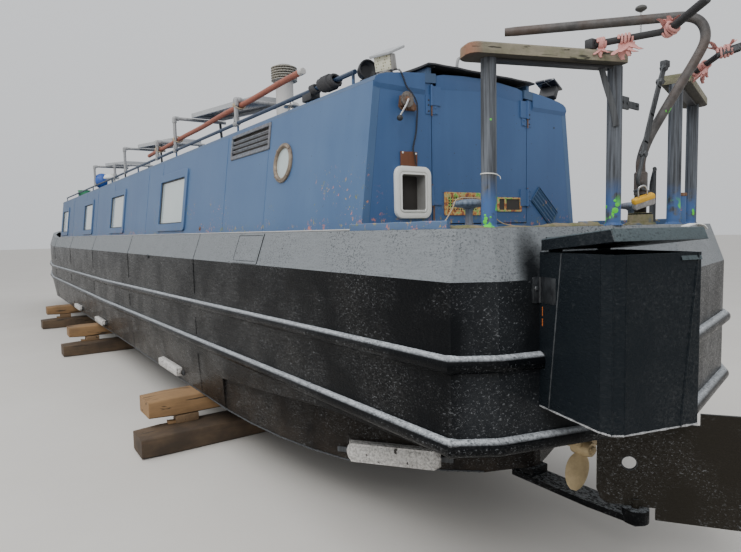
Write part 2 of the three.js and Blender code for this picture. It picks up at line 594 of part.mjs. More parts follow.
// Rudder: a plate on its stock, turned from the centreline as it was left, and its swan-neck tiller.
const HELM = 37.5;
const helmSpin = (solid) => {
  const turn = THREE.MathUtils.degToRad(HELM);
  const matrix = new THREE.Matrix4().makeTranslation(RUDDER_AXIS, 0, 0)
    .multiply(new THREE.Matrix4().makeRotationZ(turn));
  return solid.transform(matrix.elements);
};
const BLADE = { fore: 172, aft: 500, thick: 14, top: 400, aftTop: 456, step: 262, notch: 85 };
const bladeOutline = [
  [BLADE.fore, BLADE.top], [BLADE.fore, 60], [BLADE.fore - 18, 15], [BLADE.fore - 55, -5],
  [-BLADE.notch, -5], [-BLADE.notch, -62], [-BLADE.aft + 50, -66], [-BLADE.aft + 12, -50],
  [-BLADE.aft, -10],
  [-BLADE.aft, BLADE.aftTop], [-BLADE.step, BLADE.aftTop], [-BLADE.step, BLADE.top],
];
const EYE = { x: 30, z: 200, radius: 33 };
const rudderBody = join(
  cut(
    prismY(bladeOutline, -BLADE.thick / 2, BLADE.thick / 2),
    bar([EYE.x, -40, EYE.z], [EYE.x, 40, EYE.z], EYE.radius, 20)),
  bar([0, 0, BLADE.top - 30], [0, 0, STOCK.top], STOCK.radius, 20),
  bar([0, 0, SKEG.foot - 6], [0, 0, 30], SKEG.pin, 20));
add('rudder', helmSpin(rudderBody), 'blacking');
const NECK_RADIUS = 21;
const NECK = [
  [0, 0, STOCK.top + 0.4], [0, 0, 1530], [0, 0, 1600], [-27, 0, 1687], [-81, 0, 1792], [-150, 0, 1914],
  [-205, 0, 2010], [-240, 0, 2085], [-240, 0, 2140], [-215, 0, 2180], [-170, 0, 2200], [-100, 0, 2206],
  [95, 0, 2212], [350, 0, 2220], [595, 0, 2228],
];
// The tiller pin stands through the tube over the stock, with a round knob on top.
const tillerPin = () => join(
  bar([10, 0, 2144], [10, 0, 2250], 5, 10),
  turned([[0, 2243], [12, 2246], [25, 2256], [24, 2264], [10, 2271], [0, 2272]], 10, 0, 16));
add('tiller', helmSpin(join(bentBar(NECK, NECK_RADIUS, 44, 12), tillerPin())), 'darkSteel');

// Propeller on its shaft in the aperture.
function bladeOf(turn) {
  const tilt = new THREE.Matrix4().makeRotationX(turn)
    .multiply(new THREE.Matrix4().makeRotationZ(0.5));
  const shape = new THREE.Shape();
  shape.absellipse(0, (PROP.radius + 20) / 2 + 5, 62, (PROP.radius - 20) / 2, 0, 2 * Math.PI);
  const geometry = new THREE.ExtrudeGeometry(shape, { depth: 8, bevelEnabled: false, curveSegments: 10 });
  geometry.translate(0, 0, -4);
  geometry.applyMatrix4(new THREE.Matrix4().makeBasis(
    new THREE.Vector3(0, 1, 0), new THREE.Vector3(0, 0, 1), new THREE.Vector3(1, 0, 0)));
  geometry.applyMatrix4(tilt);
  geometry.translate(PROP.x, 0, PROP.z);
  return toSolid(geometry);
}
const hubBody = bar([PROP.x - 55, 0, PROP.z], [PROP.x + 55, 0, PROP.z], PROP.hub, 20);
const shaftBody = bar([PROP.x, 0, PROP.z], [640, 0, PROP.z], PROP.shaft, 16);
const turns = [0, 1, 2].map((n) => (n * 2 * Math.PI) / 3 - 0.61);
add('propeller', join(hubBody, shaftBody, ...turns.map(bladeOf)), 'bronze');

// Taffrail seats: two posts a side on the counter, a bar between them and a plank on top.
const POST = { radius: 30, top: 1958, plank: 46 };
const SEAT_POSTS = [[20, 812], [-168, 270]];
const SEAT_ANGLE = Math.atan2(SEAT_POSTS[1][1] - SEAT_POSTS[0][1], SEAT_POSTS[1][0] - SEAT_POSTS[0][0]);
const SEAT_SPAN = Math.hypot(SEAT_POSTS[1][0] - SEAT_POSTS[0][0], SEAT_POSTS[1][1] - SEAT_POSTS[0][1]);
const alongSeat = (solid) => {
  const matrix = new THREE.Matrix4().makeTranslation(SEAT_POSTS[0][0], SEAT_POSTS[0][1], 0)
    .multiply(new THREE.Matrix4().makeRotationZ(SEAT_ANGLE));
  return solid.transform(matrix.elements);
};
const seatPosts = () => join(
  ...SEAT_POSTS.map(([x, y]) => bar([x, y, GUNWALE + GAP], [x, y, POST.top], POST.radius, 16)),
  alongSeat(box(10, SEAT_SPAN - 10, -20, 20, POST.top - 10, POST.top)));
const PLANK = { before: 105, after: 14, half: 62, corner: 40 };
function seatPlank() {
  const { half, corner } = PLANK;
  const [x0, x1] = [-PLANK.before, SEAT_SPAN + PLANK.after];
  const outline = [
    [x0, half - corner], [x0 + corner * 0.3, half - corner * 0.3], [x0 + corner, half], [x1, half],
    [x1, -half], [x0 + corner, -half], [x0 + corner * 0.3, -half + corner * 0.3], [x0, -half + corner],
  ];
  return alongSeat(prismZ(outline, POST.top + GAP, POST.top + POST.plank));
}
// Padded arms: a foam-covered rod from a block on the plank, and a thicker one taped to its end.
const ARM = {
  foot: [-160, 424], bend: [-375, 250, 2047], sleeve: [-355, 241, 2042], end: [-556, 332, 2090],
  thin: 13, thick: 15.5, block: 18,
};
const paddedArm = () => {
  const [x, y] = ARM.foot;
  const top = POST.top + POST.plank;
  return join(
    box(x - ARM.block, x + ARM.block, y - ARM.block, y + ARM.block, top + GAP, top + 42),
    bar([x, y, top + 20], ARM.bend, ARM.thin, 12),
    bar(ARM.sleeve, ARM.end, ARM.thick, 12));
};
// The starboard seat stands a little further forward and inboard than the port one.
const toStarboard = (solid) => mirrorY(solid).translate([20, 18, 0]);
add('taffrail_port', seatPosts(), 'darkSteel');
add('taffrail_starboard', toStarboard(seatPosts()), 'darkSteel');
add('seat_plank_port', seatPlank(), 'weathered');
add('seat_plank_starboard', toStarboard(seatPlank()), 'weathered');
add('padded_arm_port', paddedArm(), 'black');
add('padded_arm_starboard', toStarboard(paddedArm()), 'black');

// Mooring dollies: a neck with a broad round cap, on each side of the deck.
const DOLLY = { x: 300, y: 645 };
const DOLLY_PROFILE = [
  [0, GAP], [24, GAP], [17, 30], [17, 88], [56, 94], [74, 106], [71, 122], [36, 132], [0, 133],
];
const dolly = () => turned(DOLLY_PROFILE.map(([r, z]) => [r, GUNWALE + z]), DOLLY.x, DOLLY.y, 20);
add('mooring_stud_port', dolly(), 'darkSteel');
add('mooring_stud_starboard', mirrorY(dolly()), 'darkSteel');

// Deck line: a thin bare rope over the port dolly's cap and in a loop along the deck, as [x, y, z].
const LINE = { radius: 2.5, steps: 80 };
const ON_DECK = GUNWALE + LINE.radius + 0.3;
const LINE_ROUTE = [
  [400, 500, ON_DECK], [425, 590, ON_DECK], [425, 690, ON_DECK + 0.3], [385, 780, ON_DECK + 2],
  [330, 815, ON_DECK + 10],
  [305, 790, 1340], [300, 748, 1396], [300, 726, 1434], [300, 694, 1446], [300, 645, 1447], [300, 596, 1446],
  [300, 564, 1434], [297, 530, 1396], [290, 460, 1340], [280, 400, ON_DECK + 9], [265, 330, ON_DECK + 2],
  [230, 240, ON_DECK + 0.3], [195, 130, ON_DECK], [190, 10, ON_DECK], [215, -110, ON_DECK],
  [265, -230, ON_DECK], [330, -330, ON_DECK], [385, -430, ON_DECK], [385, -520, ON_DECK],
  [320, -570, ON_DECK], [220, -590, ON_DECK],
  [125, -550, ON_DECK], [70, -450, ON_DECK], [75, -330, ON_DECK], [115, -210, ON_DECK], [130, -90, ON_DECK],
  [105, 30, ON_DECK], [75, 150, ON_DECK], [100, 260, ON_DECK], [150, 340, ON_DECK],
];
add('deck_line', bentBar(LINE_ROUTE, LINE.radius, LINE.steps, 8), 'tan');

// Timber stacks that the hull stands on: an upper baulk across a lower one, out past both sides.
const STACKS = [2850, 7420, 10440];
const BAULK = { width: 310, long: 1540, short: 1430, shift: 210, split: -220, top: -150 };
const SPACER_Y = [-1130, -330, 330, 1130];
STACKS.forEach((x, i) => add(`timber_stack_${i + 1}`, join(
  box(x + BAULK.shift, x + BAULK.shift + BAULK.width, -BAULK.short, BAULK.short, BAULK.top, -GAP),
  ...SPACER_Y.map((y) => box(
    x + BAULK.shift, x + BAULK.width, y - 90, y + 90, BAULK.split - 1, BAULK.top + 1)),
  box(x, x + BAULK.width, -BAULK.long, BAULK.long, -BASE_TO_GROUND, BAULK.split)), 'timber'));

// A height on the roof's faceted camber.
function roofAt(y) {
  const after = roofTop.findIndex(([at]) => at <= y);
  const [[y0, z0], [y1, z1]] = [roofTop[Math.max(after - 1, 0)], roofTop[after]];
  return y0 === y1 ? z0 : z0 + ((z1 - z0) * (y - y0)) / (y1 - y0);
}

// Chimney: a pipe on a collar with a broad ringed hat.
const FLUE = { x: 2660, y: 360, foot: 90, radius: 70, hat: 105, hatFoot: 2512, top: 2640 };
const flueFoot = roofAt(FLUE.y - FLUE.foot) + GAP;
add('chimney', turned([
  [0, flueFoot], [FLUE.foot, flueFoot], [FLUE.foot, flueFoot + 18], [FLUE.radius, flueFoot + 24],
  [FLUE.radius, FLUE.hatFoot], [FLUE.hat, FLUE.hatFoot + 2], [FLUE.hat, FLUE.top - 14], [60, FLUE.top],
  [0, FLUE.top],
], FLUE.x, FLUE.y), 'paleGrey');

// Mushroom vents: a neck and a domed cap.
const VENTS = [
  // name, x, y, cap radius, height
  ['vent_bright', 2080, 600, 58, 85],
  ['vent_white', 8650, 560, 120, 200],
];
// A vent's profile as [share of the cap's radius, share of the height].
const VENT_PROFILE = [[0, 0], [0.9, 0], [0.5, 0.2], [0.5, 0.55], [1, 0.6], [1, 0.72], [0.7, 0.95], [0, 1]];
VENTS.forEach(([name, x, y, radius, tall]) => {
  const foot = roofAt(y - radius * 0.9) + GAP;
  const profile = VENT_PROFILE.map(([r, h]) => [r * radius, foot + h * tall]);
  add(name, turned(profile, x, y, 16), 'paleGrey');
});

// Long panels on frames of tube: legs on the grab rail, elbows, cross tubes and inner legs on the roof.
const FRAME = {
  first: 2808, pitch: 2370, long: 1664, over: 10, outer: 545, inner: 200, thick: 42,
  aft: 2360, fore: 2500, tube: 17, leg: 14, sunk: 3,
};
const railTop = RAIL.z + RAIL.radius;
function roofPanel(index) {
  const x0 = FRAME.first + index * FRAME.pitch;
  const x1 = x0 + FRAME.long;
  const innerY = FRAME.inner + 30;
  const trestle = (x, z) => join(
    bar([x, RAIL.y, railTop + GAP], [x, RAIL.y, z + FRAME.tube - 2], FRAME.tube),
    bar([x, RAIL.y, z], [x, FRAME.inner - 30, z], FRAME.tube),
    bar([x, innerY, roofAt(innerY - FRAME.leg) + 1], [x, innerY, z], FRAME.leg));
  const rise = (FRAME.fore - FRAME.aft) / FRAME.long;
  const under = (x) => FRAME.aft + rise * (x - x0) + FRAME.tube - FRAME.sunk;
  const ends = [x0 - FRAME.over, x1 + FRAME.over];
  const slab = prismY([
    ...ends.map((x) => [x, under(x)]), ...ends.reverse().map((x) => [x, under(x) + FRAME.thick]),
  ], FRAME.inner, FRAME.outer);
  return join(slab, trestle(x0, FRAME.aft), trestle(x1, FRAME.fore));
}
[0, 1, 2].forEach((index) => add(`roof_panel_${index + 1}`, roofPanel(index), 'paleGrey'));

// Boat pole, lying inside the frames' legs just under their cross tubes.
const POLE = { radius: 21, x0: 1760, z0: 2341, x1: 5700, z1: 2265 };
const poleY = RAIL.y - FRAME.tube - POLE.radius - GAP;
add('roof_pole', bar([POLE.x0, poleY, POLE.z0], [POLE.x1, poleY, POLE.z1], POLE.radius, 16), 'redBrown');

// Flood lamps near the aft corners: a foot, a stalk, the lamp's body and a slab over it.
const LAMP = {
  foot: 35, half: 30, stalk: 11, body: 55, bodyHalf: 25, bodyFoot: 32, bodyTop: 110, slab: 66, top: 122,
};
function floodLamp(x, y, out) {
  const foot = roofAt(y - LAMP.half) + GAP;
  const slabFoot = foot + LAMP.bodyTop - 4;
  return join(
    box(x - LAMP.foot, x + LAMP.foot, y - LAMP.half, y + LAMP.half, foot, foot + 14),
    bar([x, y, foot + 8], [x, y, foot + LAMP.bodyFoot + 28], LAMP.stalk, 10),
    box(
      x - LAMP.body, x + LAMP.body, y - LAMP.bodyHalf, y + LAMP.bodyHalf,
      foot + LAMP.bodyFoot, foot + LAMP.bodyTop),
    box(x - LAMP.slab, x + LAMP.slab, y - out, y + LAMP.half, slabFoot, foot + LAMP.top));
}
add('lamp_port', floodLamp(905, 650, 130), 'paleGrey');
add('lamp_starboard', mirrorY(floodLamp(900, 668, 90)), 'black');
// Spot lamp on the port edge: a foot, a stalk, the lamp's drum and the can behind it.
const SPOT = {
  x: 1075, y: 655, z: 2184, foot: 30, stalk: 10, drum: 54, aft: 28, fore: 18, can: 34, reach: 58,
};
const spotFoot = roofAt(SPOT.y - SPOT.foot) + GAP;
add('lamp_spot', join(
  box(SPOT.x - SPOT.foot, SPOT.x + SPOT.foot, SPOT.y - SPOT.foot, SPOT.y + 25, spotFoot, spotFoot + 12),
  bar([SPOT.x, SPOT.y, spotFoot + 6], [SPOT.x, SPOT.y, SPOT.z], SPOT.stalk, 10),
  bar([SPOT.x - SPOT.aft, SPOT.y, SPOT.z], [SPOT.x + SPOT.fore, SPOT.y, SPOT.z], SPOT.drum, 20),
  bar([SPOT.x, SPOT.y, SPOT.z], [SPOT.x + SPOT.reach, SPOT.y, SPOT.z], SPOT.can, 16)), 'black');

// On the aft bulkhead, the cat flap: a frame outside and a tunnel that ends inside the cabin.
function roundRect(wide, tall, corner) {
  const arc = (cx, cy, start) => [0, 30, 60, 90].map((step) => {
    const turn = THREE.MathUtils.degToRad(start + step);
    return [cx + corner * Math.cos(turn), cy + corner * Math.sin(turn)];
  });
  const [a, b] = [wide / 2 - corner, tall / 2 - corner];
  return [...arc(a, b, 0), ...arc(-a, b, 90), ...arc(-a, -b, 180), ...arc(a, -b, 270)];
}
const onBulkhead = CABIN_AFT - GAP;
const atFlap = (solid) => solid.translate([0, FLAP.y, FLAP.z]);
const outerFrame = prismX(roundRect(FLAP.wide, FLAP.tall, 46), onBulkhead - FLAP.out, onBulkhead);
const tunnelOutline = roundRect(FLAP.inWide, FLAP.inTall, 14);
const tunnel = prismX(tunnelOutline, onBulkhead - FLAP.out, CABIN_AFT + FLAP.deep);
const boreOutline = roundRect(FLAP.inWide - 2 * FLAP.wall, FLAP.inTall - 2 * FLAP.wall, 10);
const bore = prismX(boreOutline, CABIN_AFT - 50, CABIN_AFT + FLAP.deep - 4);
add('cat_flap', atFlap(cut(join(outerFrame, tunnel), bore)), 'white');
// Hand winch: a back plate, a spindle, a drum and a crank with its knob.
const WINCH = { y: 568, z: 1982, plate: 16, spindle: 20, drum: 42, drumWide: 22, deep: 62 };
const CRANK = { out: 72, y: 640, z: 1884, rod: 6, knob: 15, knobOut: 26 };
const drumFace = onBulkhead - WINCH.deep;
const knobX = onBulkhead - CRANK.out;
add('hand_winch', join(
  box(onBulkhead - WINCH.plate, onBulkhead, WINCH.y - 62, WINCH.y + 50, WINCH.z - 46, WINCH.z + 30),
  bar([onBulkhead - 10, WINCH.y, WINCH.z], [drumFace, WINCH.y, WINCH.z], WINCH.spindle, 16),
  bar([drumFace, WINCH.y, WINCH.z], [drumFace + WINCH.drumWide, WINCH.y, WINCH.z], WINCH.drum, 24),
  bar([drumFace - 2, WINCH.y, WINCH.z], [knobX, CRANK.y, CRANK.z], CRANK.rod, 8),
  bar([knobX + 8, CRANK.y, CRANK.z], [knobX - CRANK.knobOut, CRANK.y, CRANK.z], CRANK.knob, 12),
), 'greySteel');
// Loose ribbed cover, stood on its corner against the bulkhead.
const COVER = { y: -560, long: 250, wide: 118, turn: -41, thick: 12, lift: 4 };
function looseCover() {
  const turn = THREE.MathUtils.degToRad(COVER.turn);
  const corners = [[-1, -1], [1, -1], [1, 1], [-1, 1]].map(([a, b]) => {
    const [u, v] = [(a * COVER.long) / 2, (b * COVER.wide) / 2];
    return [-(u * Math.cos(turn) - v * Math.sin(turn)), u * Math.sin(turn) + v * Math.cos(turn)];
  });
  const low = Math.min(...corners.map(([, v]) => v));
  const outline = corners.map(([u, v]) => [COVER.y + u, GUNWALE + COVER.lift + v - low]);
  return prismX(outline, onBulkhead - COVER.thick, onBulkhead);
}
add('loose_cover', looseCover(), 'blue');

export default root;
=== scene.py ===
# %% [markdown]
# # A narrowboat ashore on timber stacks
# The boat was packed before as solids: hull, cabin, doors, rudder and so on, each tied to a moving body.
# This notebook dresses them. Every solid gets a finish, and where a plain solid looks too plain,
# a finer piece stands for it. All lengths are metres; +X is the bow, +Y is port, and Z is up.

# %% Load the frame
import math
from math import cos, pi, sin

import bmesh
import bpy
from mathutils import Matrix, Vector


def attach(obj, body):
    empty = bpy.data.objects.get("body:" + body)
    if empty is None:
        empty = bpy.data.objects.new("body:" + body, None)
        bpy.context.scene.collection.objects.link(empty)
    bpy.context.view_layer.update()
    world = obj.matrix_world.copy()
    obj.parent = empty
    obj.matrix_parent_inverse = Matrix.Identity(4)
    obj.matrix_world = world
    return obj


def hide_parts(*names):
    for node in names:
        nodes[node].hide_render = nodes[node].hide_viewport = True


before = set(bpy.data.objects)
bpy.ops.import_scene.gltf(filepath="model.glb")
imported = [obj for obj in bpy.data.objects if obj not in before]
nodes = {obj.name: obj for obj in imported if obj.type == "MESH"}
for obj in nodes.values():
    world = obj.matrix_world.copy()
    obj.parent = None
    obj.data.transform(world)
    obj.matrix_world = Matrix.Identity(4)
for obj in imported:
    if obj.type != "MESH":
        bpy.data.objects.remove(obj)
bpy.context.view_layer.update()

# %% [markdown]
# The solids were drawn in millimetres from station 0, where the straight side meets the stern, and from
# the base plate. One function turns such a place into the frame's metres, so a fitting can be
# placed by the same numbers that a boat builder would read off the drawing.

# %% Stations, heights and directions
STATION_0, GROUND_TO_BASE = 7750, 380
AHEAD, PORT, UP = Vector((1, 0, 0)), Vector((0, 1, 0)), Vector((0, 0, 1))
BOTH_SIDES = ((1, "port"), (-1, "starboard"))


def at(x, y, z):
    """A place from station, distance to port and height above the base plate, in millimetres."""
    return Vector(((x - STATION_0) / 1000, y / 1000, (z + GROUND_TO_BASE) / 1000))


def full_turn(count):
    """Evenly spaced angles round a circle."""
    return [2 * pi * k / count for k in range(count)]


print("station 0 at gunwale height:", at(0, 0, 1310))

# %% [markdown]
# The photograph was taken close to the port quarter, at gunwale height. Known lengths on the boat fix
# the camera: its place, a heading 34.6 degrees off the bow, a small tilt down and a slight roll.
# Three unit vectors say all of it, and they are the columns of the camera's rotation.

# %% Camera
HEADING, TILT, ROLL = 0.6043, 0.0789, -0.0207
FOCAL_IN_WIDTHS = 571.2 / 741


def camera_axes(heading, tilt, roll):
    """Right, up and backward unit vectors of a camera that looks to starboard of the bow."""
    ahead = Vector((cos(heading) * cos(tilt), -sin(heading) * cos(tilt), -sin(tilt)))
    right = ahead.cross(UP).normalized()
    up = right.cross(ahead)
    return cos(roll) * right + sin(roll) * up, cos(roll) * up - sin(roll) * right, -ahead


def placed(name, data):
    """A new object in the scene."""
    thing = bpy.data.objects.new(name, data)
    bpy.context.scene.collection.objects.link(thing)
    return thing


lens = bpy.data.cameras.new("camera")
lens.sensor_width = 36
lens.lens = FOCAL_IN_WIDTHS * lens.sensor_width
lens.clip_start, lens.clip_end = 0.05, 200
camera = bpy.context.scene.camera = placed("camera", lens)
eye = at(-1567.7, 2479.9, 1308.5)
camera.matrix_world = Matrix.Translation(eye) @ Matrix(camera_axes(HEADING, TILT, ROLL)).transposed().to_4x4()
print("camera at", eye, "lens", round(lens.lens, 2), "mm")

# %% [markdown]
# ## Writing finishes as sums
# A finish is a small graph of shader nodes. Wiring them by hand hides the idea, so one class wraps a
# socket and lets Python's own operators add the Math nodes: `1 - rust * 0.5` then reads as it works.
# Each operator has a reflected twin, so a plain number may stand on either side.

# %% A socket that can be reckoned with
class Value:
    """The output of a shader node, which sums and products turn into Math nodes."""

    def __init__(self, finish, socket):
        self.finish, self.socket = finish, socket

    def maths(self, operation, *terms, clamp=False):
        return self.finish.node(
            "ShaderNodeMath", {"operation": operation, "use_clamp": clamp}, dict(enumerate(terms)))

    def __add__(self, other):
        return self.maths("ADD", self, other)

    def __radd__(self, other):
        return self.maths("ADD", other, self)

    def __sub__(self, other):
        return self.maths("SUBTRACT", self, other)

    def __rsub__(self, other):
        return self.maths("SUBTRACT", other, self)

    def __mul__(self, other):
        return self.maths("MULTIPLY", self, other)

    def __rmul__(self, other):
        return self.maths("MULTIPLY", other, self)

    def __truediv__(self, other):
        return self.maths("DIVIDE", self, other)

    def over(self, edge, soft=0.02):
        """A mask that is 0 below the edge and 1 above it, with a soft step."""
        return self.maths("ADD", (self - (edge - soft)) / (2 * soft), 0.0, clamp=True)

    def under(self, edge, soft=0.02):
        return 1 - self.over(edge, soft)

    def most(self, other):
        return self.maths("MAXIMUM", self, other)

    def magnitude(self):
        return self.maths("ABSOLUTE", self)

# %% [markdown]
# A finish owns its node tree and one Principled shader. `node` makes any node: settings come first,
# because they change which sockets there are, then each socket gets a number or a link.
# Patterns are read at the piece's own coordinates, which are the boat's metres, so a plank's grain and
# a hull's brush marks have their true size and stay on the piece when it swings.

# %% A finish and its nodes
FINISHES = {}


def colour_stops(ramp, stops):
    """Fills a colour ramp from pairs of place and colour."""
    while len(ramp.elements) < len(stops):
        ramp.elements.new(0.5)
    for element, (where, colour) in zip(ramp.elements, stops):
        element.position, element.color = where, (*colour, 1)


class Finish:
    """One material: a Principled shader and what feeds it."""

    def __init__(self, name):
        self.name = name
        self.material = bpy.data.materials.new(name)
        self.material.use_nodes = True
        self.tree = self.material.node_tree
        self.shader = self.tree.nodes["Principled BSDF"]
        self.place = self.node("ShaderNodeTexCoord", out="Object")

    def node(self, kind, settings=None, sockets=None, out=0):
        made = self.tree.nodes.new(kind)
        for key, value in (settings or {}).items():
            setattr(made, key, value)
        for key, value in (sockets or {}).items():
            self.feed(made.inputs[key], value)
        return Value(self, made.outputs[out])

    def feed(self, socket, value):
        if isinstance(value, Value):
            self.tree.links.new(value.socket, socket)
        elif socket.type == "RGBA" and len(value) == 3:
            socket.default_value = (*value, 1)
        else:
            socket.default_value = value

    def stretched(self, x, y, z):
        """The piece's coordinates, multiplied axis by axis."""
        return self.node("ShaderNodeMapping", {}, {"Vector": self.place, "Scale": (x, y, z)})

    def along(self, axis):
        return self.node("ShaderNodeSeparateXYZ", {}, {0: self.place}, out=axis)

    def facing_up(self):
        """How far the surface leans upwards: 0 on a wall, 1 on a floor."""
        normal = self.node("ShaderNodeNewGeometry", out="Normal")
        return self.node("ShaderNodeSeparateXYZ", {}, {0: normal}, out="Z")

    def noise(self, scale, detail=3.0, roughness=0.55, where=None, distortion=0.0):
        return self.node("ShaderNodeTexNoise", {}, {
            "Vector": where or self.place, "Scale": scale, "Detail": detail,
            "Roughness": roughness, "Distortion": distortion})

    def cells(self, scale, randomness=1.0):
        return self.node("ShaderNodeTexVoronoi", {"feature": "F1"}, {
            "Vector": self.place, "Scale": scale, "Randomness": randomness})

    def mix(self, share, first, second):
        """Colour that goes from first to second as share goes from 0 to 1."""
        return self.node("ShaderNodeMix", {"data_type": "RGBA"}, {0: share, 6: first, 7: second}, out=2)

    def ramp(self, share, stops):
        """Colour read off a row of stops."""
        read = self.node("ShaderNodeValToRGB", {}, {0: share})
        colour_stops(read.socket.node.color_ramp, stops)
        return read

    def bump(self, relief, distance, strength=1.0):
        return self.node("ShaderNodeBump", {}, {
            "Height": relief, "Distance": distance, "Strength": strength}, out="Normal")

    def paint(self, colour, roughness=0.5, metallic=0.0, normal=None, **fixed):
        """Feeds the shader, and files the finish under its name."""
        feeds = {"Base Color": colour, "Roughness": roughness, "Metallic": metallic}
        if normal is not None:
            feeds["Normal"] = normal
        for key, value in fixed.items():
            feeds[key.replace("_", " ").title().replace("Ior", "IOR")] = value
        for key, value in feeds.items():
            self.feed(self.shader.inputs[key], value)
        FINISHES[self.name] = self.material
        print("finish", self.name, "has", len(self.tree.nodes), "nodes")


def make_all(maker, table):
    """Makes one finish for each row of a table, from a name to what the maker needs."""
    for name, (plain, named) in table.items():
        maker(name, *plain, **named)

# %% [markdown]
# ## Bitumen on the hull
# The hull is blacked with bitumen by brush: almost black, wet-looking where it is thick, never smooth.
# Long strokes run along the boat and short ripples between them, and pale specks on the ripples are painted
# glints. Where the steel leans upwards, as under the gunwale and on top of each strake, its colour is
# painted silver-grey, a painted reflection of the sky. The surface normal tells where that is. Low down,
# pale brown patches are a painted reflection of the ground, and the transom is painted lighter, as painted
# light.

# %% Bitumen
BLACK = ((0.0026, 0.0031, 0.004), (0.0056, 0.0056, 0.0056))
# Painted reflection: the silver-grey colour of the sky mirrored on steel that leans upwards.
SKY_SILVER = (0.25, 0.27, 0.285)
# Pale grey for painted glints, and pale brown for a painted reflection of the ground low on the hull.
GLINT_GREY, GROUND_REFLECTION = (0.2, 0.21, 0.22), (0.06, 0.047, 0.036)
# Painted light: the colour that makes the transom lighter where it is more brightly lit. The old brown is the
# rudder's own tone.
LIT_TRANSOM, OLD_BROWN = (0.0165, 0.0185, 0.021), (0.03, 0.026, 0.02)
TRANSOM_X = -7.76
# A small round patch by the locker's corner, above a given height, where the painted sky reflection is left
# out.
SKY_GAP_X, SKY_GAP_Y, SKY_GAP_FOOT = -7.888, 0.738, 1.46


def bitumen(
        name, tints=BLACK, sky_reflection=SKY_SILVER, leans=(0.26, 0.11), ground_reflection=0.0, sky=1.0, glint=1.0, brushed=0.0,
        brown=0.0, sky_gap=False):
    f = Finish(name)
    lean = f.facing_up()
    strokes = f.noise(1.0, 4, 0.6, f.stretched(7, 30, 60))
    ripples = f.noise(1.0, 3, 0.65, f.stretched(55, 80, 100), distortion=0.7)
    pits = f.noise(1.0, 3, 0.6, f.stretched(95, 120, 150), distortion=0.4)
    puddles = f.noise(3.1, 3, 0.5)
    colour = f.mix(f.noise(2.3, 5, 0.6).over(0.62, 0.12), *tints)
    if brown:
        colour = f.mix(brown, colour, OLD_BROWN)
    if ground_reflection:
        # Painted light: the transom is painted lighter, in patches.
        transom = f.along("X").under(TRANSOM_X, 0.03)
        colour = f.mix(transom * (0.3 + puddles.over(0.5, 0.12) * 0.7), colour, LIT_TRANSOM)
        # Painted reflection of the ground: pale brown patches low on the hull.
        low = f.along("Z").under(0.6, 0.28) * f.noise(3.2, 5, 0.65).over(0.48, 0.18) * ground_reflection
        colour = f.mix(low, colour, GROUND_REFLECTION)
    # Painted glints: pale grey specks on the ripples, on steel that does not face upwards.
    glints = ripples.over(0.655, 0.03).most(pits.over(0.645, 0.025)) * puddles.over(0.47, 0.08)
    colour = f.mix(glints * lean.under(0.2, 0.05) * 0.5 * glint, colour, GLINT_GREY)
    # Painted reflection of the sky where the steel leans upwards; shine sets its strength, broken by specks
    # and brush ripples.
    leaning = lean.over(*leans)
    # The painted sky reflection is left out in a small round patch by the locker's corner.
    if sky_gap:
        dx, dy = f.along("X") - SKY_GAP_X, f.along("Y") - SKY_GAP_Y
        near = (dx * dx + dy * dy + strokes * 0.002).under(0.0042, 0.0028)
        near = near * f.along("Z").over(SKY_GAP_FOOT, 0.02)
        leaning = leaning * (1 - near)
    specks = 1 - pits.under(0.42, 0.05) * (0.2 + 0.5 * puddles.over(0.5, 0.1))
    shine = (0.74 + 0.34 * strokes) * specks
    if brushed:
        shine = shine * (1 - brushed * ripples.under(0.5, 0.05))
    colour = f.mix(leaning * shine * sky, colour, sky_reflection)
    relief = strokes * 0.3 + puddles * 0.35 + ripples * 0.7 + pits * 0.3
    wet = ripples.over(0.52, 0.1) * puddles.over(0.5, 0.1)
    f.paint(
        colour, roughness=0.24 + strokes.over(0.55, 0.2) * 0.14 + leaning * 0.16, coat_weight=wet * 0.32,
        normal=f.bump(relief, 0.005, 0.8), specular_ior_level=0.06, coat_roughness=0.06)


bitumen("bitumen", ground_reflection=0.62, sky_gap=True)
# Strakes: a brighter, narrower painted sky reflection on their upper faces, broken along the brush ripples.
bitumen("bitumen_strake", sky_reflection=(0.55, 0.58, 0.61), leans=(0.68, 0.18), brushed=0.4)
# Locker and lid: a faint painted sky reflection where they lean back, and few painted glints.
bitumen(
    "bitumen_locker", tints=((0.009, 0.012, 0.015), (0.014, 0.0175, 0.02)), sky_reflection=(0.075, 0.095, 0.102),
    glint=0.12)
# Rudder and skeg: painted glints and painted sky reflection, weak on the rudder, strong and broken on the
# skeg.
bitumen("bitumen_rudder", sky=0.3, glint=1.1, brown=0.75)
bitumen("bitumen_skeg", sky=1.4, brushed=0.95)

# %% [markdown]
# ## Faded blue on the cabin
# The cabin's paint has gone satin and chalky. It is paler in broad patches and streaked downwards
# by rain. Chips show pink, ochre and green undercoats low down, and rust starts in the smallest.
# The after end is out of the sun and kept a deeper blue. A chip is where a fine noise peaks.

# %% Cabin and roof paint
UNDERCOATS = (
    (0.0, (0.3, 0.09, 0.07)), (0.44, (0.5, 0.19, 0.16)),
    (0.52, (0.34, 0.27, 0.09)), (0.6, (0.15, 0.17, 0.05)))
RUST_DOT, RAIL_NAVY = (0.035, 0.028, 0.028), (0.009, 0.022, 0.05)
RAIL_FROM_MIDDLE, RAIL_FOOT = 0.69, 2.518


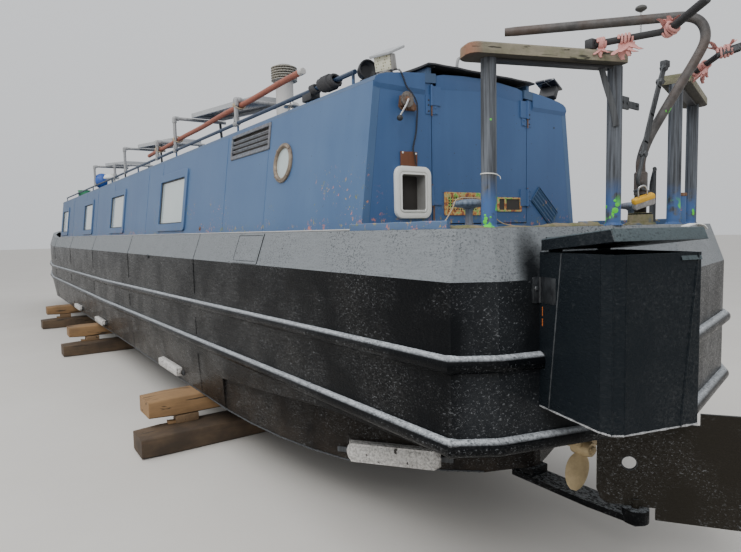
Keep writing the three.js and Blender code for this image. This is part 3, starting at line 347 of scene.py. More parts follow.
def cabin_paint(name, base, faded, chips_below=1.98, chips=1.0, gloss=0.4, dark_rail=False):
    f = Finish(name)
    patches = f.noise(1.3, 4, 0.55)
    streaks = f.noise(1.0, 4, 0.6, f.stretched(14, 14, 1.1))
    colour = f.mix(patches.over(0.5, 0.22) * 0.65 + streaks.over(0.5, 0.2) * 0.35, base, faded)
    fine, broad = f.noise(34, 4, 0.75), f.noise(3.1, 3, 0.5)
    flakes = fine.over(0.62, 0.012) * (f.along("Z").under(chips_below, 0.1) * broad.over(0.54, 0.03)) * chips
    foot = fine.over(0.585, 0.02) * f.along("Z").under(1.75, 0.03) * broad.over(0.46, 0.05) * chips
    colour = f.mix(flakes.most(foot), colour, f.ramp(f.noise(11, 2, 0.5), UNDERCOATS))
    colour = f.mix(f.noise(70, 2, 0.6).over(0.735, 0.012) * 0.85, colour, RUST_DOT)
    if dark_rail:
        rail = f.along("Y").magnitude().over(RAIL_FROM_MIDDLE, 0.004) * f.along("Z").over(RAIL_FOOT, 0.004)
        colour = f.mix(rail * (0.6 + streaks * 0.4), colour, RAIL_NAVY)
    relief = f.noise(90, 3, 0.6) * 0.1 + patches * 0.8 - flakes * 0.3
    f.paint(
        colour, roughness=gloss + streaks * 0.16, normal=f.bump(relief, 0.003, 0.5), specular_ior_level=0.5)


make_all(cabin_paint, {
    "cabin_blue": (((0.038, 0.092, 0.205), (0.07, 0.137, 0.255)), {}),
    "end_blue": (((0.026, 0.078, 0.2), (0.052, 0.12, 0.27)), {"chips_below": 1.86, "gloss": 0.44}),
    "roof_blue": (((0.03, 0.07, 0.15), (0.055, 0.105, 0.19)), {"chips": 0.0, "dark_rail": True}),
    "cover_blue": (((0.015, 0.05, 0.12), (0.03, 0.08, 0.165)), {"chips_below": 2.4, "chips": 0.8}),
    "coaming_blue": (((0.05, 0.1, 0.2), (0.08, 0.14, 0.25)), {"chips_below": 1.9})})

# %% [markdown]
# ## Steel that is handled and left out
# Posts and tiller were painted more than once. Vertical scratches show lighter metal through dark
# paint, and on the posts the light vertical streaks are partly painted reflection as well. The posts' feet
# are blue, and a few spots of a bright green touch-up paint stay on them.

# %% Worn steel
RUST_TINT, FRESH_GREEN = (0.13, 0.065, 0.035), (0.08, 0.6, 0.03)


def worn_steel(name, dark, light, foot=None, green=None, warm=0.0, gloss=0.45, grain=(90, 90, 3.2)):
    f = Finish(name)
    scratches = f.noise(1.0, 5, 0.65, f.stretched(*grain))
    blotches = f.noise(14, 4, 0.6)
    colour = f.mix(scratches.over(0.5, 0.12), dark, light)
    if warm:
        colour = f.mix(f.noise(7, 4, 0.6).over(0.55, 0.1) * warm, colour, RUST_TINT)
    if foot:
        colour = f.mix(f.along("Z").under(1.84, 0.05) * blotches.over(0.42, 0.06), colour, foot)
    if green:
        edge, below = green
        drips = f.noise(1.0, 2, 0.5, f.stretched(26, 26, 14)).over(edge, 0.012)
        colour = f.mix(drips * f.along("Z").under(below, 0.03), colour, FRESH_GREEN)
    f.paint(
        colour, roughness=gloss + blotches * 0.2, normal=f.bump(scratches + blotches * 0.7, 0.0012, 0.6))


make_all(worn_steel, {
    # On the posts the light vertical streaks are partly scratches and partly painted reflection.
    "post_steel": (((0.016, 0.019, 0.024), (0.11, 0.122, 0.142), (0.04, 0.1, 0.25), (0.6, 1.79)), {}),
    "tiller_steel": (((0.04, 0.037, 0.036), (0.085, 0.08, 0.077), None, (0.69, 2.6), 0.3), {
        "grain": (25, 25, 25)}),
    "dark_steel": (((0.018, 0.02, 0.023), (0.06, 0.065, 0.07)), {}),
    "hinge_steel": (((0.008, 0.009, 0.011), (0.026, 0.029, 0.032)), {"gloss": 0.3, "grain": (60, 60, 30)}),
    "louvre_grey": (((0.085, 0.097, 0.115), (0.16, 0.175, 0.2)), {"warm": 0.2, "grain": (40, 40, 40)}),
    "stud_steel": (((0.06, 0.09, 0.13), (0.16, 0.2, 0.26)), {"warm": 0.5}),
    "grey_steel": (((0.2, 0.195, 0.185), (0.36, 0.35, 0.34)), {"warm": 0.25}),
    "winch_steel": (((0.06, 0.055, 0.05), (0.17, 0.155, 0.14)), {"warm": 0.6, "grain": (70, 70, 70)}),
    "galvanised": (((0.2, 0.205, 0.21), (0.38, 0.385, 0.39)), {"warm": 0.1, "gloss": 0.5}),
    "rusty_steel": (((0.1, 0.045, 0.022), (0.2, 0.12, 0.08)), {"warm": 0.8, "gloss": 0.7})})

# %% [markdown]
# ## Timber, weathered boards and moss
# The stacks are old baulks: straight grain along the length, drying cracks, and dark stains. The seat
# planks are silver-grey with green in the pores. Grain is a noise squeezed across the fibre.

# %% Wood and deck
ALGAE, OLD_RED, WET_STAIN = (0.1, 0.115, 0.05), (0.24, 0.095, 0.05), (0.02, 0.014, 0.01)
SHADED_UNDERSIDE, CRACK = (0.012, 0.01, 0.009), (0.01, 0.008, 0.006)
ALONG_Y = (34, 3, 34)


def wood(name, pale, dark, stretch, stain_share=0.5, stain=WET_STAIN, green=0.0, red_end=None):
    f = Finish(name)
    grain = f.noise(1.0, 6, 0.62, f.stretched(*stretch), distortion=0.6)
    broad = f.noise(2.6, 4, 0.6)
    cracks = f.noise(1.0, 3, 0.5, f.stretched(*(s * 0.5 for s in stretch)), distortion=1.2).over(0.66, 0.015)
    colour = f.mix(broad.over(0.56, 0.12) * stain_share, f.mix(grain, dark, pale), stain)
    if green:
        colour = f.mix(f.noise(11, 5, 0.7).over(0.55, 0.1) * green, colour, ALGAE)
    if red_end:
        outboard = f.along("Y").magnitude().over(red_end, 0.02) * broad.over(0.42, 0.1)
        colour = f.mix(outboard * 0.75, colour, OLD_RED)
    # Painted shade: faces that point downwards are painted nearly black.
    colour = f.mix(f.facing_up().under(-0.5, 0.2) * 0.85, colour, SHADED_UNDERSIDE)
    colour = f.mix(cracks * 0.8, colour, CRACK)
    f.paint(colour, roughness=0.72 + grain * 0.2, normal=f.bump(grain - cracks * 1.2, 0.003, 0.8))


make_all(wood, {
    "lower_timber": (((0.17, 0.11, 0.062), (0.035, 0.024, 0.015), ALONG_Y, 0.7), {}),
    "upper_timber": (((0.4, 0.24, 0.11), (0.16, 0.09, 0.04), ALONG_Y, 0.3), {}),
    "spacer_wood": (((0.3, 0.19, 0.1), (0.12, 0.075, 0.04), (8, 34, 34), 0.4), {}),
    "seat_wood": (((0.36, 0.32, 0.24), (0.11, 0.1, 0.07), (30, 9, 60)), {
        "stain": (0.07, 0.062, 0.04), "green": 0.6, "red_end": 0.9}),
    "flap_board": (((0.2, 0.075, 0.035), (0.11, 0.04, 0.02), (30, 30, 8), 0.1), {})})


def mossy(name):
    f = Finish(name)
    moss, grit = f.noise(16, 6, 0.7), f.noise(120, 3, 0.7)
    colour = f.mix(moss.over(0.5, 0.1), (0.2, 0.165, 0.11), (0.12, 0.125, 0.05))
    colour = f.mix(f.noise(7, 4, 0.6).over(0.6, 0.04) * 0.7, colour, (0.06, 0.095, 0.17))
    f.paint(colour, roughness=0.9, normal=f.bump(moss + grit * 0.4, 0.006, 0.9))


mossy("deck_moss")

# %% [markdown]
# ## Small metals, plastics, glass and foam
# Bronze, zinc and brass each have one telling mark: the screw's is dull tan and stained, the
# anodes' is a pitted chalk crust, and the porthole ring's is brown tarnish over yellow metal.
# The plastics, foams and paints are all one kind: a cloudy mix of two near colours.

# %% The other finishes
def metal_finish(name, bright, stained, metallic, rough):
    f = Finish(name)
    tarnish = f.noise(22, 5, 0.65)
    f.paint(
        f.mix(tarnish.over(0.5, 0.2), bright, stained), roughness=rough + tarnish * 0.25, metallic=metallic,
        normal=f.bump(tarnish, 0.0015, 0.5))


def chalky_zinc(name):
    f = Finish(name)
    pits, crust = f.cells(55), f.noise(75, 5, 0.7)
    colour = f.mix(crust.over(0.48, 0.1), (0.36, 0.35, 0.33), (0.68, 0.66, 0.63))
    colour = f.mix(f.noise(30, 3, 0.6).over(0.66, 0.02), colour, (0.06, 0.055, 0.05))
    f.paint(colour, roughness=0.9, normal=f.bump(crust - pits * 0.8, 0.008, 1.0))


def plain_finish(name, colour, other, rough, scale=25.0, bumpy=0.0006, **fixed):
    f = Finish(name)
    cloudy = f.noise(scale, 4, 0.6)
    f.paint(
        f.mix(cloudy, colour, other), roughness=rough + cloudy * 0.12,
        normal=f.bump(cloudy, bumpy, 0.6), **fixed)


FLAKING_LAYERS = (
    (0.0, (0.03, 0.08, 0.2)), (0.42, (0.25, 0.08, 0.04)), (0.48, (0.55, 0.25, 0.06)),
    (0.55, (0.5, 0.42, 0.2)), (0.63, (0.12, 0.5, 0.05)), (0.7, (0.3, 0.09, 0.05)))


def flaking(name):
    """Layers of old paint that show round a rough opening."""
    f = Finish(name)
    layers = f.noise(28, 4, 0.7)
    f.paint(f.ramp(layers, FLAKING_LAYERS), roughness=0.8, normal=f.bump(layers, 0.003, 0.9))


metal_finish("screw_bronze", (0.6, 0.47, 0.27), (0.42, 0.32, 0.18), 0.3, 0.45)
metal_finish("ring_brass", (0.3, 0.245, 0.185), (0.13, 0.1, 0.078), 0.5, 0.4)
metal_finish("bright_steel", (0.6, 0.6, 0.6), (0.35, 0.35, 0.34), 0.95, 0.12)
chalky_zinc("anode_zinc")
flaking("flaking_paint")
for name, *row in (
        ("engine_green", (0.05, 0.12, 0.06), (0.035, 0.08, 0.045), 0.45),
        ("pole_red", (0.32, 0.1, 0.06), (0.2, 0.065, 0.045), 0.6, 14),
        ("chimney_grey", (0.5, 0.49, 0.47), (0.36, 0.35, 0.34), 0.6, 9),
        ("hat_dark", (0.1, 0.1, 0.09), (0.05, 0.05, 0.05), 0.6, 40),
        ("hat_cream", (0.46, 0.44, 0.38), (0.3, 0.28, 0.24), 0.6, 30),
        ("panel_edge", (0.42, 0.43, 0.44), (0.34, 0.35, 0.36), 0.4, 12),
        ("foam_black", (0.012, 0.012, 0.013), (0.03, 0.03, 0.032), 0.7, 60, 0.001),
        ("foam_pink", (0.62, 0.31, 0.28), (0.47, 0.21, 0.19), 0.85, 30, 0.002),
        ("white_plastic", (0.8, 0.8, 0.77), (0.68, 0.68, 0.64), 0.35, 8),
        ("black_plastic", (0.014, 0.015, 0.017), (0.03, 0.03, 0.033), 0.45, 30),
        ("yellow_plastic", (0.75, 0.42, 0.02), (0.55, 0.3, 0.02), 0.5, 40),
        ("room_dark", (0.05, 0.045, 0.04), (0.03, 0.027, 0.025), 0.7, 5),
        ("tunnel_grey", (0.3, 0.295, 0.28), (0.2, 0.195, 0.18), 0.6, 12),
        ("rope_tan", (0.5, 0.4, 0.28), (0.34, 0.27, 0.18), 0.85, 120, 0.002),
        ("rope_black", (0.016, 0.016, 0.018), (0.045, 0.045, 0.048), 0.75, 150, 0.002),
        ("blue_plastic", (0.03, 0.11, 0.42), (0.02, 0.07, 0.3), 0.35, 10),
        ("green_plastic", (0.05, 0.3, 0.14), (0.03, 0.2, 0.09), 0.5, 20),
        ("touch_up_green", (0.1, 0.62, 0.04), (0.06, 0.5, 0.03), 0.35, 60),
        ("slit_orange", (0.5, 0.13, 0.015), (0.25, 0.05, 0.01), 0.8, 90)):
    plain_finish(name, *row)
# The panes' pale colour is partly light curtains behind the glass and partly painted reflection of the sky.
plain_finish(
    "pane", (0.5, 0.56, 0.55), (0.36, 0.43, 0.43), 0.05, 1.6, 0.0, coat_weight=0.5, coat_roughness=0.02)

# %% [markdown]
# ## Dressing the solids
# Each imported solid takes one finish, and its material slot in the record stays the one that was packed.
# A table from finish to the solids' first words keeps it short; the longest match counts.

# %% Finish every solid
DRESS = {
    "bitumen": "hull", "bitumen_skeg": "skeg", "bitumen_locker": "stern_locker locker_lid",
    "bitumen_rudder": "rudder", "cabin_blue": "cabin_side fore_bulkhead fore_door",
    "end_blue": "aft_bulkhead aft_door", "roof_blue": "roof", "deck_moss": "rear_deck",
    "engine_green": "engine",
    "white_plastic": "window cat_flap", "ring_brass": "porthole", "grey_steel": "hand_winch",
    "louvre_grey": "louvre", "pole_red": "roof_pole", "tiller_steel": "tiller", "screw_bronze": "propeller",
    "black_plastic": "sliding_hatch lamp_port lamp_starboard lamp_spot", "post_steel": "taffrail",
    "seat_wood": "seat_plank", "foam_black": "padded_arm", "stud_steel": "mooring_stud",
    "upper_timber": "timber_stack", "chimney_grey": "chimney vent_bright vent_white",
    "galvanised": "roof_panel", "cover_blue": "loose_cover", "rope_tan": "deck_line"}
DRESS_OF = {word: finish for finish, words in DRESS.items() for word in words.split()}

for node in nodes.values():
    word = max((word for word in DRESS_OF if node.name.startswith(word)), key=len)
    node.data.materials.clear()
    node.data.materials.append(FINISHES[DRESS_OF[word]])
print("dressed", len(nodes), "solids")

# %% [markdown]
# ## Shapes in mesh code
# Nearly every fitting is one of four forms: a bar bent along a line, a form turned about an axis, a block
# with rounded edges, or a plate cut to an outline. One class gathers any number of them in a mesh
# and hands it over as a piece that rides on a body. Creases over 32 degrees stay sharp.

# %% Shape: bars, turned forms, blocks and plates
def across(ahead):
    """Two unit vectors square to a direction and to each other."""
    side = ahead.cross(UP)
    if side.length < 1e-3:
        side = ahead.cross(PORT)
    side.normalize()
    return side, side.cross(ahead).normalized()


def rounded(points, steps=6):
    """A smooth line through the given points."""
    ends = [2 * points[0] - points[1], *points, 2 * points[-1] - points[-2]]
    line = []
    for a, b, c, d in zip(ends, ends[1:], ends[2:], ends[3:]):
        for t in (k / steps for k in range(steps)):
            bend = 2 * a - 5 * b + 4 * c - d + t * (3 * b - a - 3 * c + d)
            line.append(b + 0.5 * t * (c - a + t * bend))
    return line + [points[-1].copy()]


def smooth(*places, steps=5):
    """A smooth line through places given in the drawing's millimetres."""
    return rounded([at(*place) for place in places], steps)


class Shape:
    """Solid forms gathered in one mesh, in the frame's metres."""

    def __init__(self):
        self.mesh = bmesh.new()

    def rows(self, rows, loop=False):
        """A skin through rows of points, closed at both ends; every row has the same count."""
        made = [[self.mesh.verts.new(point) for point in row] for row in rows]
        for a, b in zip(made, made[1:] + (made[:1] if loop else [])):
            for i in range(len(a)):
                j = (i + 1) % len(a)
                self.mesh.faces.new((a[i], a[j], b[j], b[i]))
        if not loop:
            self.mesh.faces.new(made[0][::-1])
            self.mesh.faces.new(made[-1])
        return made

    def bar(self, path, radius, sides=14, loop=False):
        """A round bar along a line; radius is one number, or one for each point."""
        radii = radius if isinstance(radius, list) else [radius] * len(path)
        last = len(path) - 1
        side = None
        rows = []
        for k, point in enumerate(path):
            after = path[(k + 1) % len(path)] if loop else path[min(k + 1, last)]
            ahead = (after - path[k - 1 if loop else max(k - 1, 0)]).normalized()
            side = across(ahead)[0] if side is None else (side - ahead * side.dot(ahead)).normalized()
            up = ahead.cross(side)
            rows.append([point + radii[k] * (cos(a) * side + sin(a) * up) for a in full_turn(sides)])
        self.rows(rows, loop)
        return self

    def turned(self, profile, foot, axis=UP, sides=32, loop=False):
        """A form turned about an axis, from pairs of radius and distance along it; a loop is a ring."""
        axis = axis.normalized()
        side, up = across(axis)
        self.rows([[
            foot + along * axis + max(radius, 1e-5) * (cos(a) * side + sin(a) * up) for a in full_turn(sides)]
            for radius, along in profile], loop)
        return self

    def bevel(self, edges, width, segments=2):
        if width:
            bmesh.ops.bevel(
                self.mesh, geom=edges, offset=width, segments=segments, profile=0.5, affect="EDGES")
        return self

    def block(self, middle, size, axes=None, bevel=0.003, segments=2):
        """A box with rounded edges; axes are its own three directions."""
        turn = Matrix(axes).transposed().to_4x4() if axes else Matrix.Identity(4)
        place = Matrix.Translation(middle) @ turn @ Matrix.Diagonal((*size, 1))
        corners = bmesh.ops.create_cube(self.mesh, size=1, matrix=place)["verts"]
        return self.bevel(list({edge for corner in corners for edge in corner.link_edges}), bevel, segments)

    def slats(self, middles, size, axes, bevel=0.001):
        """Thin blocks with one small bevel, all of one size."""
        for middle in middles:
            self.block(middle, size, axes, bevel, 1)
        return self

    def plate(self, outline, thick, origin, u, v, bevel=0.0015):
        """A flat outline in the plane of u and v, with its thickness towards u x v."""
        lift = thick * u.cross(v).normalized()
        corners = [origin + a * u + b * v for a, b in outline]
        rims = self.rows([corners, [corner + lift for corner in corners]])
        return self.bevel([edge for row in rims for edge in {
            e for vert in row for e in vert.link_edges if all(w in row for w in e.verts)}], bevel)

    def ring(self, outer, inner, thick, origin, u, v):
        """A flat frame between two outlines of the same count."""
        lift = thick * u.cross(v).normalized()
        levels = ((outer, 0), (outer, 1), (inner, 1), (inner, 0))
        self.rows([
            [origin + a * u + b * v + up * lift for a, b in outline] for outline, up in levels], loop=True)
        return self

    def become(self, name, finish, body="hull", stands_for=(), crease=32):
        """Ends the mesh: an object with a finish that rides on a body."""
        bmesh.ops.remove_doubles(self.mesh, verts=self.mesh.verts, dist=2e-5)
        bmesh.ops.recalc_face_normals(self.mesh, faces=self.mesh.faces)
        data = bpy.data.meshes.new(name)
        self.mesh.to_mesh(data)
        self.mesh.free()
        data.shade_smooth()
        data.set_sharp_from_angle(angle=math.radians(crease))
        data.materials.append(FINISHES[finish])
        piece = placed(name, data)
        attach(piece, body)
        if stands_for:
            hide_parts(*([stands_for] if isinstance(stands_for, str) else stands_for))
        print(name, "has", len(data.polygons), "faces")
        return piece


def loft(rows, loop=False):
    """One skin through rows of points, as a form of its own."""
    form = Shape()
    form.rows(rows, loop)
    return form


# %% Round-cornered outlines and planes to draw them in
def round_rect(width, height, radius, steps=5):
    """Corner points of a rectangle about (0, 0) with round corners."""
    points = []
    for cx, cy, start in ((1, 1, 0), (-1, 1, 90), (-1, -1, 180), (1, -1, 270)):
        for a in (math.radians(start + 90 * k / steps) for k in range(steps + 1)):
            points.append((
                cx * (width / 2 - radius) + radius * cos(a), cy * (height / 2 - radius) + radius * sin(a)))
    return points


class Plane:
    """A flat part of the boat with its own directions: along it, up it, and out of it."""

    def __init__(self, along, up):
        self.along, self.up, self.out = self.axes = along, up, along.cross(up)
        self.flat = (along, up)

    def outline(self, points, middle, out):
        return [middle + a * self.along + b * self.up + out * self.out for a, b in points]


print("corner points of a rounded square:", len(round_rect(1, 1, 0.1)))

# %% [markdown]
# ## The deck line
# A thin tan rope lies loose on the rear deck: it climbs over the cap of the port dolly, drops to the
# deck again and runs out to starboard and back. Both of its ends are bare and all of it is seen, so
# its length is the route's own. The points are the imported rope's, in millimetres.

# %% Rope over the dolly and round the deck
LINE_DIAMETER = 0.005
ON_DECK = 1312.8
LINE_ROUTE = (
    (400, 500, 0), (425, 590, 0), (425, 690, 0.3), (385, 780, 2), (330, 815, 10), (305, 790, 27.2),
    (300, 748, 83.2), (300, 726, 121.2), (300, 694, 133.2), (300, 645, 134.2), (300, 596, 133.2),
    (300, 564, 121.2), (297, 530, 83.2), (290, 460, 27.2), (280, 400, 9), (265, 330, 2), (230, 240, 0.3),
    (195, 130, 0), (190, 10, 0), (215, -110, 0), (265, -230, 0), (330, -330, 0), (385, -430, 0),
    (385, -520, 0), (320, -570, 0), (220, -590, 0), (125, -550, 0), (70, -450, 0), (75, -330, 0),
    (115, -210, 0), (130, -90, 0), (105, 30, 0), (75, 150, 0), (100, 260, 0), (150, 340, 0))

path = smooth(*((x, y, ON_DECK + lift) for x, y, lift in LINE_ROUTE))
length = sum((b - a).length for a, b in zip(path, path[1:]))
deck_rope = Shape().bar(path, LINE_DIAMETER / 2, 10).become("deck_rope", "rope_tan", stands_for="deck_line")
tuple(path[0])
[tuple(point) for point in path]
print("deck_rope is", round(length, 3), "m long")

# %% [markdown]
# ## On the roof: three long panels on pipe frames
# Galvanised tubes stand on the port grab rail, turn inwards at an elbow and carry a long
# framed panel, its fore end higher. Dark legs hold the inner edge. Only undersides and edges show
# from the quarter, so the cells on top are a guess: a grid of dark squares with thin pale lines.

# %% Dark cells with pale lines
CELL_PITCH = 0.156


def grid_line(f, axis):
    """A mask of thin lines across an axis, one for each cell."""
    cell = f.along(axis) / CELL_PITCH
    return (cell.maths("FRACT", cell) - 0.5).magnitude().over(0.485, 0.005)


f = Finish("panel_cells")
f.paint(
    f.mix(grid_line(f, "X").most(grid_line(f, "Y")), (0.006, 0.009, 0.02), (0.25, 0.26, 0.27)),
    roughness=0.16 + f.noise(6, 3, 0.5) * 0.1, specular_ior_level=0.6)

# %% Three panels and their frames
RAIL_SIDE, RAIL_TOP = 715, 2190
FIRST, PITCH, LONG, OUTER, INNER, THICK = 2808, 2370, 1664, 545, 200, 0.042
RISE_AFT, RISE_FORE = 2360, 2500
TUBE = 0.017


def on_roof(x, y, lift=0.0):
    """A place on the cambered roof, and so many millimetres above it."""
    return at(x, y, 2168 - 52 * (y / 690) ** 2 + lift)


def pipe_frame(n):
    x0 = FIRST + (n - 1) * PITCH
    tubes, legs = Shape(), Shape()
    for x, z in ((x0, RISE_AFT), (x0 + LONG, RISE_FORE)):
        foot = at(x, RAIL_SIDE, RAIL_TOP + 1)
        elbow = ((x, RAIL_SIDE, z - 45), (x, RAIL_SIDE, z - 6), (x, RAIL_SIDE - 6, z), (x, RAIL_SIDE - 45, z))
        tubes.bar([foot, at(x, RAIL_SIDE, z - 20)], TUBE)
        tubes.bar(smooth(*elbow, steps=4), TUBE * 1.35)
        tubes.bar([at(x, RAIL_SIDE - 20, z), at(x, INNER - 30, z)], TUBE)
        tubes.bar([foot, at(x, RAIL_SIDE, RAIL_TOP + 34)], TUBE * 1.4)
        tubes.bar([at(x + reach, RAIL_SIDE, RAIL_TOP - 14) for reach in (-34, 34)], TUBE * 1.25)
        heel = on_roof(x - 60, INNER + 30, 6)
        legs.bar([heel, at(x, INNER + 30, z - TUBE * 1000)], 0.014)
        legs.block(heel, (0.07, 0.05, 0.008), bevel=0.002)
    tubes.become(f"pipe_frame_{n}", "galvanised", stands_for=f"roof_panel_{n}")
    legs.become(f"panel_legs_{n}", "dark_steel")
    start, end = at(x0 + 20, 0, RISE_AFT + 17), at(x0 + LONG - 20, 0, RISE_FORE + 17)
    length, width = (end - start).length, (OUTER - INNER) / 1000
    ahead = (end - start).normalized()
    out = ahead.cross(PORT).normalized()
    foot = (start + end) / 2 + PORT * (OUTER + INNER) / 2000
    Shape().ring(
        round_rect(length, width, 0.004), round_rect(length - 0.05, width - 0.05, 0.004), THICK, foot,
        ahead, PORT).become(f"panel_rim_{n}", "panel_edge")
    Shape().block(
        foot + out * (THICK / 2 + 0.008), (length - 0.048, width - 0.048, 0.012), (ahead, PORT, out), 0.001
    ).become(f"panel_cells_{n}", "panel_cells")


for n in (1, 2, 3):
    pipe_frame(n)

# %% [markdown]
# A red-brown boat pole lies along the frames, inside their legs, tied there with tan line. It is a
# straight smooth bar with a worn grey end. The ties are short helices wound tight on pole and leg.

# %% Pole and its ties
POLE_AFT, POLE_FORE = 1760, 5700
POLE_FROM, POLE_TO = at(POLE_AFT, 676.5, 2341), at(POLE_FORE, 676.5, 2265)


def on_pole(x):
    return POLE_FROM.lerp(POLE_TO, (x - POLE_AFT) / (POLE_FORE - POLE_AFT))


wobble = [POLE_FROM.lerp(POLE_TO, k / 24) + UP * 0.003 * sin(k * 0.9) for k in range(25)]
Shape().bar(wobble, 0.021, 20).become("boat_pole", "pole_red", stands_for="roof_pole")
Shape().bar(
    [on_pole(POLE_AFT + reach) for reach in (-4, 0, 36)], [0.019, 0.0225, 0.0225], 20
).become("pole_end", "chimney_grey")


def lashing(name, middle, radii, turns, pitch, thick, finish, lean):
    """Line wound tight round something that runs ahead: an oval helix."""
    side, up = across(AHEAD)
    steps = turns * 14
    path = []
    for k in range(steps + 1):
        a = 2 * pi * k * turns / steps
        along = (k / steps - 0.5) * turns * pitch + lean * sin(a)
        path.append(middle + AHEAD * along + side * radii[0] * cos(a) + up * radii[1] * sin(a))
    Shape().bar(path, thick, 8).become(name, finish)


for n, x in enumerate((2808, 4472, 5178), 1):
    pole_at, post_at = on_pole(x), on_pole(x)
    post_at.y = 0.7
    lashing(f"pole_tie_{n}", (pole_at + post_at) / 2, (0.047, 0.03), 4, 0.009, 0.005, "rope_tan", 0.01)

# %% [markdown]
# The chimney is a pale painted pipe on a collar, with a hat of six thin rings. Beside it, on the
# port edge, stand a bright mushroom vent and, further aft, a black spot lamp and a solar flood
# lamp. All of them but the flood lamps are turned forms. The thick black line on the grab rail is
# wound with the same helix as the pole's ties.

# %% Chimney and vents
FLUE, FLUE_RADIUS, HAT_RADIUS, HAT_FOOT = (2660, 360), 0.07, 0.105, 2512

foot = on_roof(*FLUE, 1)
brim = at(*FLUE, HAT_FOOT)
tall = brim.z - foot.z
Shape().turned([
    (0.095, 0), (0.095, 0.012), (0.088, 0.018), (0.076, 0.03), (FLUE_RADIUS, 0.04), (FLUE_RADIUS, tall),
    (0.05, tall)], foot).become("chimney_pipe", "chimney_grey", stands_for="chimney")
Shape().turned([(0.06, 0), (0.084, 0.002), (0.084, 0.114), (0.06, 0.124), (0, 0.127)], brim).become(
    "chimney_hat", "hat_dark")
rings = Shape()
for k in range(6):
    rings.turned(
        [(0.08, 0), (0.1, 0.001), (HAT_RADIUS, 0.004), (0.1, 0.009), (0.08, 0.01)],
        brim + UP * (0.001 + k * 0.0195))
rings.become("chimney_rings", "hat_cream")

for name, x, y, radius, tall, finish, node in (
        ("bright_vent", 2080, 600, 0.057, 0.082, "bright_steel", "vent_bright"),
        ("white_vent", 8650, 560, 0.117, 0.19, "white_plastic", "vent_white"),
        ("low_vent", 6300, 330, 0.09, 0.09, "bright_steel", ())):
    Shape().turned([(radius * wide, tall * high) for wide, high in (
        (0.9, 0), (0.9, 0.006 / tall), (0.55, 0.012 / tall), (0.5, 0.55), (1, 0.6), (1.02, 0.7), (0.85, 0.92),
        (0.4, 1), (0, 1.01))], on_roof(x, y, 1)).become(name, finish, stands_for=node)

# %% Thick line wound on the grab rail
WINDINGS = ((1330, 0.034, 6), (1375, 0.042, 6), (1420, 0.037, 5), (1545, 0.024, 4))

for n, (x, radius, turns) in enumerate(WINDINGS, 1):
    where = at(x, RAIL_SIDE, RAIL_TOP - 14)
    lashing(f"rail_winding_{n}", where, (radius, radius), turns, 0.013, 0.0085, "rope_black", 0.02)

# %% Spot lamp and flood lamps
spot_at = at(1072, 655, 2184)
spot = Shape().turned([
    (0.012, -0.062), (0.03, -0.058), (0.042, -0.035), (0.052, 0), (0.054, 0.02), (0.054, 0.026),
    (0.048, 0.026), (0.046, 0.012), (0.03, -0.005), (0, -0.008)], spot_at, Vector((-0.97, 0.16, 0.05)))
spot.bar([spot_at - UP * 0.04, at(1075, 655, 2135)], 0.009)
spot.block(at(1075, 653, 2130.5), (0.06, 0.055, 0.012))
spot.become("spot_lamp", "black_plastic", stands_for="lamp_spot")

f = Finish("led_cream")
dots = f.cells(70, randomness=0.0).under(0.3, 0.06)
f.paint(f.mix(dots, (0.66, 0.64, 0.5), (0.26, 0.24, 0.13)), roughness=0.35)


def flood_lamp(side_name, foot, look, slab_tilt, finish, cells, reach):
    """A solar flood lamp: a lit face, a body behind it and a cell slab over both."""
    look = look.normalized()
    side, up = across(look)
    head = foot + UP * 0.055
    form = Shape().block(foot + UP * 0.006, (0.07, 0.05, 0.012))
    form.bar(rounded([foot + UP * 0.01, foot + UP * 0.03 - look * 0.012, head - look * 0.01], 4), 0.011)
    form.block(head, (0.045, 0.115, 0.085), (look, side, up), 0.008)
    form.become(f"{side_name}_lamp_body", finish, stands_for=f"lamp_{side_name}")
    face = Shape().block(head + look * 0.024, (0.006, 0.1, 0.072), (look, side, up), 0.002)
    face.become(f"{side_name}_lamp_face", "led_cream")
    back = Matrix.Rotation(math.radians(slab_tilt), 3, side) @ -look
    middle = head + up * 0.052 + back * (reach / 2 - 0.05)
    slab = Shape().block(middle, (reach, 0.13, 0.014), (back, side, -side.cross(back)), 0.004)
    slab.become(f"{side_name}_lamp_cells", cells)


flood_lamp("port", at(905, 650, 2126), Vector((-0.3, 0.93, -0.2)), -14, "grey_steel", "panel_edge", 0.16)
flood_lamp(
    "starboard", at(900, -668, 2123), Vector((0.2, -0.85, -0.5)), 10, "black_plastic", "panel_cells", 0.14)

# %% [markdown]
# ## The cabin's sides
# The sides lean inwards by seven degrees. Everything on them, such as a window, is drawn in the
# leaning plane: along the boat, up the slope, and out from it. One small class keeps those three
# directions for a side, so that port and starboard come from the same numbers.

# %% The leaning sides
CABIN_LEAN = (866 - 772) / (2068 - 1310)
SLOPE = math.atan(CABIN_LEAN)


class Side(Plane):
    """The cabin side to port (1) or to starboard (-1)."""

    def __init__(self, sign, name):
        super().__init__(AHEAD * -sign, Vector((0, -sign * sin(SLOPE), cos(SLOPE))))
        self.sign, self.name = sign, name

    def at(self, x, z, out=0.0):
        """A place on the side by station and height, and metres out from it."""
        return at(x, self.sign * (866 - CABIN_LEAN * (z - 1310)), z) + self.out * out


SIDES = [Side(*side) for side in BOTH_SIDES]
print("the sides lean", round(math.degrees(SLOPE), 1), "degrees")

# %% [markdown]
# Each window is a raised steel frame, painted with the cabin, with round outer corners and a sharp
# opening. A black seal runs round the opening, and the pane lies back in it. The glass is a pale glossy
# sheet rather than a clear one: its pale colour stands partly for light curtains behind it and partly
# for a painted reflection of the sky.

# %% Windows
WINDOW_X, WINDOW_MIDDLE = (3830, 6480, 8910, 11890), 1637.5
WINDOW_SIZE = (0.93, 0.549)


